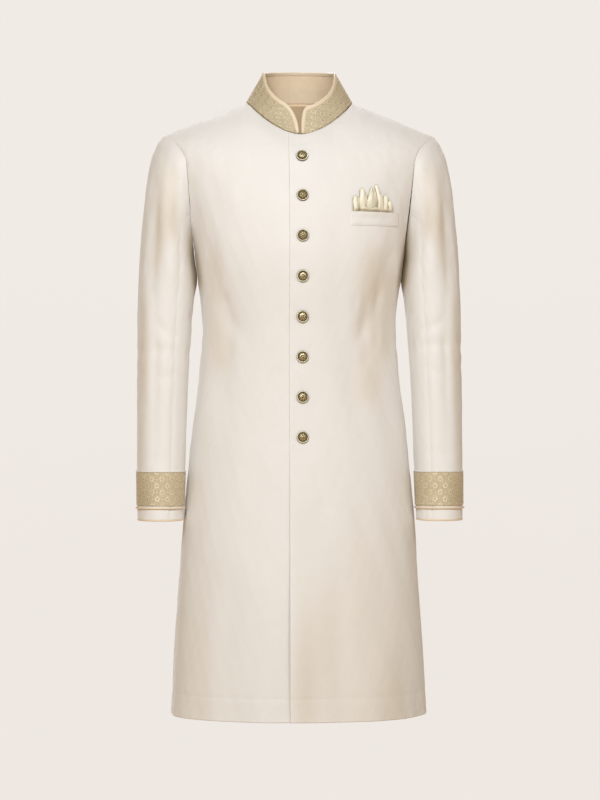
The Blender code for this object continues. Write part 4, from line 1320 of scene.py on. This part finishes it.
# ---------------------------------------------------------------- on the left front
class Laid:
    """The left front's outer skin, to lay smaller pieces on."""

    def __init__(self, grid):
        quads = grid_faces(*grid.shape[:2], ring=False).tolist()
        self.tree = BVHTree.FromPolygons([Vector(p) for p in grid.reshape(-1, 3)], quads)

    def point(self, x, z):
        found, *_ = self.tree.ray_cast(Vector((x, -1, z)), Vector((0, 1, 0)))
        return np.array(found)

    def frame(self, x, z, reach=0.003):
        """The point at x and z and the outward direction round it."""
        across = self.point(x + reach, z) - self.point(x - reach, z)
        down = self.point(x, z - reach) - self.point(x, z + reach)
        return self.point(x, z), unit(np.cross(down, across))

    def sheet(self, xs, zs, outs):
        """Points at places of a grid, each moved out by its own distance."""
        def lay(x, z, out):
            point, normal = self.frame(x, z)
            return point + normal * out

        return np.array([[lay(*place) for place in zip(*row)] for row in zip(xs, zs, outs)])


WELT_ROUNDING = 0.0022
WELT_STAND = 0.0020       # how far the welt's top stands off the chest


def build_pocket(laid, finishes):
    xs = np.concatenate(([0.0, 0.006, 0.018], np.linspace(0.04, 0.96, 40), [0.982, 0.994, 1.0]))
    rises = np.concatenate(([0.0, 0.02, 0.05], np.linspace(0.1, 0.9, 12), [0.95, 0.98, 1.0]))
    x, rise = np.meshgrid(mix(POCKET_INNER_X, POCKET_OUTER_X, xs), rises)
    z = POCKET_TOP - POCKET_HEIGHT * rise
    near = np.minimum(np.minimum(xs, 1 - xs)[None, :] * (POCKET_OUTER_X - POCKET_INNER_X),
                      (1 - rises)[:, None] * POCKET_HEIGHT)
    soft = 1 - 0.80 * np.exp(-near / WELT_ROUNDING)
    stand = WELT_STAND * (1 - smooth(rises / 0.5))[:, None] * np.sin(np.pi * xs) ** 0.5
    base = GAP + stand
    outer = laid.sheet(x, z, base + TRIM * soft)
    inner = laid.sheet(x, z, base)
    item = shell("pocket_welt", outer, inner, flat_map(outer), [finishes["silk"]] * 2)
    settle(item, "pocket_welt")


# Folds of the pocket square: where each stands and leans to, how tall and wide it
# is, how far forward, how straight it tapers and how dark it is painted at its foot,
# as painted shade; the dark folds in the back layer are painted shade in the gaps.
Petal = namedtuple("Petal", "x peak_x height width layer taper shade")
PETALS = (
    Petal(0.1080, 0.1100, 0.0400, 0.0190, 1, 0.80, 0.42),
    Petal(0.0885, 0.0890, 0.0235, 0.0085, 0, 0.40, 0.75),
    Petal(0.0998, 0.1002, 0.0300, 0.0080, 0, 0.40, 0.70),
    Petal(0.1160, 0.1163, 0.0345, 0.0085, 0, 0.35, 1.00),
    Petal(0.1272, 0.1280, 0.0235, 0.0080, 0, 0.40, 0.55),
    Petal(0.1350, 0.1352, 0.0185, 0.0070, 0, 0.40, 0.85),
    Petal(0.0838, 0.0830, 0.0250, 0.0098, 2, 0.15, 0.00),
    Petal(0.0948, 0.0940, 0.0375, 0.0105, 2, 0.18, 0.00),
    Petal(0.1222, 0.1172, 0.0435, 0.0085, 2, 0.30, 0.00),
    Petal(0.1225, 0.1218, 0.0285, 0.0098, 3, 0.20, 0.00),
    Petal(0.1313, 0.1318, 0.0275, 0.0088, 2, 0.15, 0.00),
    Petal(0.1380, 0.1383, 0.0185, 0.0074, 3, 0.15, 0.00),
    Petal(0.0990, 0.0950, 0.0080, 0.0240, 3, 0.30, 0.34),
    Petal(0.1120, 0.1150, 0.0070, 0.0260, 3, 0.30, 0.44),
    Petal(0.1290, 0.1320, 0.0065, 0.0200, 3, 0.30, 0.40),
)
PETAL_START = 0.0003      # how far above the welt's edge the folds start


def build_pocket_square(laid, finishes):
    """Folds of a silk square standing out of the pocket, each with a rolled edge."""
    points, faces, flats, edges = [], [], [], []
    start = 0
    for number, petal in enumerate(PETALS):
        across = np.sin(np.linspace(-np.pi / 2, np.pi / 2, 23))
        up = np.sin(np.linspace(0, np.pi / 2, 30))
        u, v = np.meshgrid(across, up)
        cap = 0.62 * petal.width / petal.height
        shape = np.sqrt(np.clip(1 - (np.maximum(v - 1 + cap, 0) / cap) ** 2, 0.0004, 1))
        shape = shape * (1 - petal.taper * v) * mix(0.86, 1.0, smooth(v / 0.3))
        lean = mix(petal.x, petal.peak_x, v**1.4)
        curl = 0.0006 * np.sin(5.0 * v + number * 2.3) * v
        x = lean + u * petal.width / 2 * shape + curl
        rise = PETAL_START + (petal.height - PETAL_START) * v
        z = POCKET_TOP + rise
        inside = smooth(rise / 0.004)
        puff = (1 - u**2) ** 0.55 * (0.0020 + 0.0016 * np.sin(np.pi * v))
        fold = 0.0008 * np.cos(u * 7.0 + number * 1.7) * v * (1 - v)
        roll = 0.0006 * np.exp(-(((1 - np.abs(u)) / 0.12) ** 2)) * smooth(v / 0.3)
        out = 0.0006 + 0.0011 * petal.layer
        out = out * mix(0.35, 1.0, inside) + inside * (puff + fold + roll + 0.0005)
        outer, inner = (laid.sheet(x, z, out + face) for face in (0.0004, -0.0001))
        # Edge values for the colour: darker along each fold's sides and tip, partly the rolled
        # hem's own darker edge and partly painted shade; painted shade across a pleat and at the
        # foot.
        sides = np.exp(-(((1 - np.abs(u)) / 0.22) ** 2)) * (0.65 + 0.35 * np.sin(9 * v + number))
        tip_hem_and_shade = np.exp(-(((1 - v) / 0.030) ** 2))
        pleat_shade = 0.5 * np.exp(-(((u - 0.35 * (-1) ** number) / 0.25) ** 2)) * (1 - v)
        rim = np.max((sides, tip_hem_and_shade, pleat_shade, petal.shade * (1 - 0.75 * v)), axis=0)
        petal_points, petal_faces, petal_flats, held, _ = wall(
            outer, inner, flat_map(outer) + number * 0.03, free=np.ones(u.shape, bool), edge=rim)
        points.append(petal_points)
        faces.append(petal_faces + start)
        flats.append(petal_flats)
        edges.append(held["edge"])
        start += len(petal_points)
    points, faces, flats, edges = map(np.concatenate, (points, faces, flats, edges))
    item = surface_mesh("pocket_square", [finishes["square"]], points, faces, flats,
                        {"edge": edges})
    area = sum((p.height - PETAL_START) * p.width * (1 - p.taper / 2) for p in PETALS)
    settle(item, "pocket_square")


# ---------------------------------------------------------------- buttons
# Shares of the button's radius and rise.
BUTTON_TURNS = 96
DOME_PETALS = 8
DOME_RISE = 0.93
BOSS_RISE = 0.10
ROPE_STRANDS = 26
ROPE_MIDDLE = 0.875
ROPE_FOOT = 0.20
BACK_RINGS = ((0.97, 0.06, 0.25), (0.80, 0.0, 0.1), (0.40, 0.0, 0.1))  # radius, rise, rubbed


def button_mesh(finish):
    """A cast button turned about Z: a roped rim round a dome with petals."""
    radii = np.concatenate((np.linspace(0.0, 0.74, 26)[1:], np.linspace(0.76, 1.0, 18)))
    turns = np.linspace(0, 2 * np.pi, BUTTON_TURNS, endpoint=False)
    r, turn = np.meshgrid(radii, turns, indexing="ij")
    dome = DOME_RISE * np.sqrt(np.clip(1 - (r / 0.80) ** 2 * 0.82, 0, 1))
    petals = 0.085 * np.abs(np.cos(turn * DOME_PETALS / 2)) ** 0.6
    relief = petals * (smooth((r - 0.20) / 0.06) * smooth((0.66 - r) / 0.07))
    boss = BOSS_RISE * np.sqrt(np.clip(1 - (r / 0.17) ** 2, 0, 1))
    ditch = (0.10 * np.exp(-(((r - 0.72) / 0.035) ** 2))
             + 0.05 * np.exp(-(((r - 0.19) / 0.03) ** 2)))
    rope = np.sqrt(np.clip(1 - ((r - ROPE_MIDDLE) / (1 - ROPE_MIDDLE)) ** 2, 0, 1))
    twist = np.cos(ROPE_STRANDS * turn + (r - ROPE_MIDDLE) * 26)
    rim = smooth((r - 0.73) / 0.03)
    z = mix(dome + relief + boss - ditch, ROPE_FOOT + rope * (0.36 + 0.10 * twist), rim)
    z[r > 0.995] = ROPE_FOOT
    rubbed = mix(np.clip(0.25 + 9 * (relief + boss) - 6 * ditch, 0, 1),
                 np.clip(rope * (0.75 + 0.24 * twist), 0, 1), rim)
    back = np.repeat(np.array(BACK_RINGS)[:, :, None], BUTTON_TURNS, axis=2)
    r, z, rubbed = (np.concatenate((front, back[:, k]))
                    for k, front in enumerate((r, z, rubbed)))
    points = joined(r * np.cos(turns) * BUTTON_RADIUS, r * np.sin(turns) * BUTTON_RADIUS,
                    z * BUTTON_RISE).reshape(-1, 3)
    crown, heel = len(points), len(points) + 1
    points = np.concatenate((points, [(0, 0, (DOME_RISE + BOSS_RISE) * BUTTON_RISE), (0, 0, 0)]))
    rubbed = np.concatenate((rubbed.ravel(), (1.0, 0.1)))
    # Where the rim is: polished, and partly a painted highlight.
    bright = smooth((np.hypot(points[:, 0], points[:, 1]) / BUTTON_RADIUS - 0.74) / 0.05)
    ring = np.arange(BUTTON_TURNS)
    last = ring + crown - BUTTON_TURNS
    faces = [*grid_faces(len(r), BUTTON_TURNS)]
    faces += [(crown, after, at) for at, after in zip(ring, np.roll(ring, -1))]
    faces += [(heel, at, after) for at, after in zip(last, np.roll(last, -1))]
    item = surface_mesh("button", [finish], points, faces, points[:, :2],
                        {"rubbed": rubbed, "bright": bright})
    mesh = item.data
    bpy.data.objects.remove(item, do_unlink=True)
    return mesh


def build_buttons(laid, finishes):
    mesh = button_mesh(finishes["brass"])
    for number in range(1, BUTTON_COUNT + 1):
        height = BUTTON_TOP - (number - 1) * BUTTON_SPACING
        point, out = laid.frame(0.0, height, 0.006)
        item = bpy.data.objects.new(f"button_{number}", mesh)
        turn = Vector(out).to_track_quat("Z", "Y").to_matrix().to_4x4()
        item.matrix_world = (Matrix.Translation(Vector(point + out * BUTTON_GAP)) @ turn
                             @ Matrix.Rotation(0.37 * number, 4, "Z"))
        bpy.context.scene.collection.objects.link(item)
        settle(item, f"button_{number}")


# ---------------------------------------------------------------- stitches
STITCH_INSET = 0.005
WELT_STITCH_INSET = 0.003
LAP_STITCH_TOP = -0.066
STITCH_LENGTH = 0.0024
STITCH_PITCH = 0.0034
STITCH_RADIUS = 0.00022
STITCH_SIDES = 6
STITCH_RISES = ((-0.5, 0.35), (-0.36, 0.85), (0.0, 1.0), (0.36, 0.85), (0.5, 0.35))


def part_way(place, length, values):
    """Points or normals of a path at a distance along it."""
    return np.array([np.interp(place, length, column) for column in values.T])


def stitch_rows(name, lines, finish):
    """Straight stitches laid end to end along lines of points with normals."""
    points, faces = [], []
    turns = np.linspace(0, 2 * np.pi, STITCH_SIDES, endpoint=False)
    count = len(STITCH_RISES) * STITCH_SIDES
    shape = [*grid_faces(len(STITCH_RISES), STITCH_SIDES), np.arange(STITCH_SIDES)[::-1],
             np.arange(count - STITCH_SIDES, count)]
    for path, normals in lines:
        length = lengths(path)
        for middle in np.arange(STITCH_PITCH, length[-1] - STITCH_PITCH, STITCH_PITCH):
            back, centre, front = (part_way(middle + share * STITCH_LENGTH, length, path)
                                   for share in (-0.5, 0, 0.5))
            normal = unit(part_way(middle, length, normals))
            ahead = unit(front - back)
            side = unit(np.cross(normal, ahead))
            faces += [face + len(points) for face in shape]
            for share, size in STITCH_RISES:
                bed = centre + ahead * share * STITCH_LENGTH
                bed = bed + normal * STITCH_RADIUS * (0.9 * size - 0.5)
                points += [bed + (side * math.cos(turn) + normal * math.sin(turn))
                           * STITCH_RADIUS * size for turn in turns]
    points = np.array(points)
    settle(surface_mesh(name, [finish], points, faces, points[:, ::2]), None)


def outward_row(grid, row, closed=False):
    """One row of a grid that goes round the Z axis, with its outward normals."""
    normals = grid_normals(grid, ring=closed)[row]
    path = grid[row]
    normals = normals * np.sign((normals[:, :2] * (path - path.mean(axis=0))[:, :2]).sum())
    if closed:
        path, normals = (np.concatenate((part, part[:1])) for part in (path, normals))
    return path, normals


def build_stitches(left_front, laid, finishes):
    """Topstitching on the lapping edge, the welt and the collar's seam."""
    column = np.argmin(np.abs(left_front[-1, :, 0] + OVERLAP - STITCH_INSET))
    seen = left_front[:, column, 2] < LAP_STITCH_TOP
    normals = -grid_normals(left_front)
    stitch_rows("lap_stitches", [(left_front[seen, column], normals[seen, column])],
                finishes["silk"])
    welt = []
    bottom = POCKET_TOP - POCKET_HEIGHT + WELT_STITCH_INSET
    inner, outer = POCKET_INNER_X + WELT_STITCH_INSET, POCKET_OUTER_X - WELT_STITCH_INSET
    corners = ((inner, POCKET_TOP), (inner, bottom), (outer, bottom), (outer, POCKET_TOP))
    for (x, z), (to_x, to_z) in zip(corners, corners[1:]):
        found = [laid.frame(mix(x, to_x, share), mix(z, to_z, share))
                 for share in np.linspace(0, 1, 24)]
        path = np.array([point + normal * (GAP + TRIM * 0.9) for point, normal in found])
        welt.append((path, np.array([normal for _, normal in found])))
    stitch_rows("welt_stitches", welt, finishes["silk"])
    collar = collar_skin(np.array((0.04, 0.07, 0.10)), 0.0)
    stitch_rows("collar_stitches", [outward_row(collar, 1)], finishes["binding"])


# ---------------------------------------------------------------- studio
FLOOR_HEIGHT = -1.46
CAMERA_HEIGHT = -0.484
CAMERA_DISTANCE = 4.5
LENS = 124.15
FRAME_LONG_SIDE = 800
CENTRE_SHIFT = -0.8
CAMERA_TURN = math.radians(-2.5)


def build_camera():
    camera = bpy.data.cameras.new("camera")
    camera.lens = LENS
    camera.sensor_width = 36.0
    camera.shift_x = -CENTRE_SHIFT / FRAME_LONG_SIDE
    item = bpy.data.objects.new("camera", camera)
    item.location = (CAMERA_DISTANCE * math.sin(CAMERA_TURN),
                     -CAMERA_DISTANCE * math.cos(CAMERA_TURN), CAMERA_HEIGHT)
    item.rotation_euler = (math.pi / 2, 0, CAMERA_TURN)
    bpy.context.scene.collection.objects.link(item)
    bpy.context.scene.camera = item


Lamp = namedtuple("Lamp", "name place aim size power colour")
LAMPS = (
    Lamp("key", (-0.90, -3.52, 1.50), (0.0, 0.0, -0.45), 1.2, 93.5, (0.86, 0.95, 1.03)),
    Lamp("front", (1.25, -3.30, 1.45), (0.0, 0.0, -0.42), 1.6, 35.0, (0.86, 0.95, 1.04)),
    Lamp("back", (0.0, 2.25, 1.90), (0.0, 0.0, -0.35), 1.4, 40.0, (0.95, 0.97, 1.0)),
)
WORLD_COLOUR = (1.0, 0.74, 0.46)
WORLD_STRENGTH = 0.20


def build_lights():
    for lamp in LAMPS:
        light = bpy.data.lights.new(lamp.name, "AREA")
        light.shape = "DISK"
        light.size = lamp.size
        light.energy = lamp.power
        light.color = lamp.colour
        item = bpy.data.objects.new(lamp.name, light)
        item.location = lamp.place
        aim = Vector(lamp.aim) - Vector(lamp.place)
        item.rotation_euler = aim.to_track_quat("-Z", "Y").to_euler()
        bpy.context.scene.collection.objects.link(item)
    world = bpy.data.worlds.new("studio")
    world.use_nodes = True
    background = world.node_tree.nodes["Background"]
    background.inputs["Color"].default_value = (*WORLD_COLOUR, 1.0)
    background.inputs["Strength"].default_value = WORLD_STRENGTH
    bpy.context.scene.world = world
    bpy.context.scene.view_settings.view_transform = "Standard"


COVE_RADIUS = 7.6
COVE_BEND = 1.0
COVE_TOP = 4.5
COVE_SIDES = 72
COVE_CENTRE = 0.0001      # radius of the small hole in the middle of floor and ceiling


def build_cove(name, finish, lit):
    """A round room of paper. lit is for the one that lights the coat unseen."""
    bend = np.linspace(0, math.pi / 2, 13)[1:]
    straight = COVE_RADIUS - COVE_BEND
    profile = [(COVE_CENTRE, FLOOR_HEIGHT), (straight, FLOOR_HEIGHT)]
    profile += [(straight + COVE_BEND * math.sin(turn),
                 FLOOR_HEIGHT + COVE_BEND - COVE_BEND * math.cos(turn)) for turn in bend]
    profile.append((COVE_RADIUS, COVE_TOP))
    if not lit:
        profile.append((COVE_CENTRE, COVE_TOP))
    turns = 2 * math.pi * np.arange(COVE_SIDES) / COVE_SIDES
    points = np.array([(radius * math.cos(turn), radius * math.sin(turn), height)
                       for radius, height in profile for turn in turns])
    item = surface_mesh(name, [finish.material], points, grid_faces(len(profile), COVE_SIDES),
                        points[:, :2])
    item.visible_camera = not lit
    item.visible_diffuse = item.visible_glossy = item.visible_shadow = lit


def paper(name, share, colours, glows):
    """A paper that glows. Both go from the first colour to the second by a share."""
    finish = Finish(name, Roughness=0.9, Specular_IOR_Level=0.0, Emission_Strength=1.0)
    share = share(finish, finish.object_place())
    finish.join(finish.blend(share, *glows), finish.shader.inputs["Emission Color"])
    finish.surface(finish.blend(share, *colours))
    return finish


def behind(finish, place):
    """The share of the room that stands behind the coat."""
    across, depth = finish.split(place, (0, 1))
    return depth.step(0.8, 2.1) * (1 - abs(across).step(2.4, 5.0))


def above_floor(finish, place):
    height, = finish.split(place, (2,))
    uneven = finish.grain(place, 1.2, 2.0) * 0.5
    return (height + uneven).step(FLOOR_HEIGHT + 0.2, FLOOR_HEIGHT + 2.2)


def build_stage():
    """Unseen paper that glows behind the coat and dimly elsewhere, and pale paper
    that is only seen."""
    fill = paper("fill_paper", behind,
                 (colour(0.30, 0.285, 0.27), colour(0.31, 0.295, 0.28)),
                 (colour(0.295, 0.216, 0.130), colour(0.70, 0.662, 0.62)))
    build_cove("studio_fill", fill, True)

    pale = paper("studio_paper", above_floor,
                 (colour(0.02, 0.02, 0.02), colour(0.03, 0.03, 0.03)),
                 (colour(0.845, 0.793, 0.748), colour(0.860, 0.812, 0.772)))
    outside = pale.node("NewGeometry", {}, {}, BACKFACING)
    front = Wire(pale, pale.shader.outputs[0])
    seen = pale.node("MixShader", {}, {0: outside, 1: pale.node("BsdfTransparent"), 2: front})
    pale.join(seen, pale.tree.nodes["Material Output"].inputs["Surface"])
    pale.material.cycles.emission_sampling = "NONE"
    build_cove("studio_paper", pale, False)


# ---------------------------------------------------------------- the whole coat
def make_finishes():
    return {
        "silk": raw_silk("ivory_silk_woven", colour(0.865, 0.830, 0.790),
                         colour(0.825, 0.780, 0.725), colour(0.900, 0.870, 0.835)),
        "lining": satin("ivory_lining_satin", colour(0.80, 0.715, 0.60),
                        colour(0.70, 0.60, 0.47)),
        "brocade": brocade(),
        "peach": satin("peach_satin_woven", colour(0.90, 0.72, 0.51),
                       colour(0.79, 0.60, 0.40)),
        # A warmer, deeper copy of the peach satin: painted warm shade for the facing, which sits
        # in shade inside the neck.
        "facing": satin("peach_facing_satin_shade_tinted", colour(0.95, 0.70, 0.43),
                        colour(0.86, 0.60, 0.35)),
        "binding": satin("peach_binding_satin", colour(0.83, 0.685, 0.50),
                         colour(0.76, 0.60, 0.42)),
        # Its rim colour is painted shade on the folds, partly the rolled hem's darker edge.
        "square": satin("pale_gold_silk_woven", colour(0.97, 0.91, 0.74),
                        colour(0.86, 0.73, 0.50), sheen=0.4, rough=0.26,
                        rim=colour(0.30, 0.245, 0.13)),
        "brass": antique_brass(),
    }


Panel = namedtuple("Panel", "name half side lapped area")
PANELS = (
    Panel("front_left", "front", 1, True, 0.2635),
    Panel("front_right", "front", -1, False, 0.2630),
    Panel("back_left", "back", 1, False, 0.2480),
    Panel("back_right", "back", -1, False, 0.2480),
)
# The two pieces of a sleeve: the angles that they reach between, and their columns.
Half = namedtuple("Half", "name first last columns area")
HALVES = (
    Half("sleeve_top", -SEAM_TURN, SEAM_TURN, 72, 0.1185),
    Half("sleeve_under", SEAM_TURN, 360 - SEAM_TURN, 36, 0.0575),
)


def build_coat():
    finishes = make_finishes()
    cloth = [finishes["silk"], finishes["lining"]]
    skins = {panel.name: build_panel(panel, cloth) for panel in PANELS}
    for side, label in ((1, "left"), (-1, "right")):
        for half in HALVES:
            build_sleeve(f"{half.name}_{label}", half, side, cloth)
        build_cuffs(side, finishes)
    left_front = skins["front_left"]
    build_collar(finishes)
    build_neck_facing(finishes)
    laid = Laid(left_front)
    build_pocket(laid, finishes)
    build_pocket_square(laid, finishes)
    build_buttons(laid, finishes)
    build_stitches(left_front, laid, finishes)


build_camera()
build_lights()
build_stage()
build_coat()
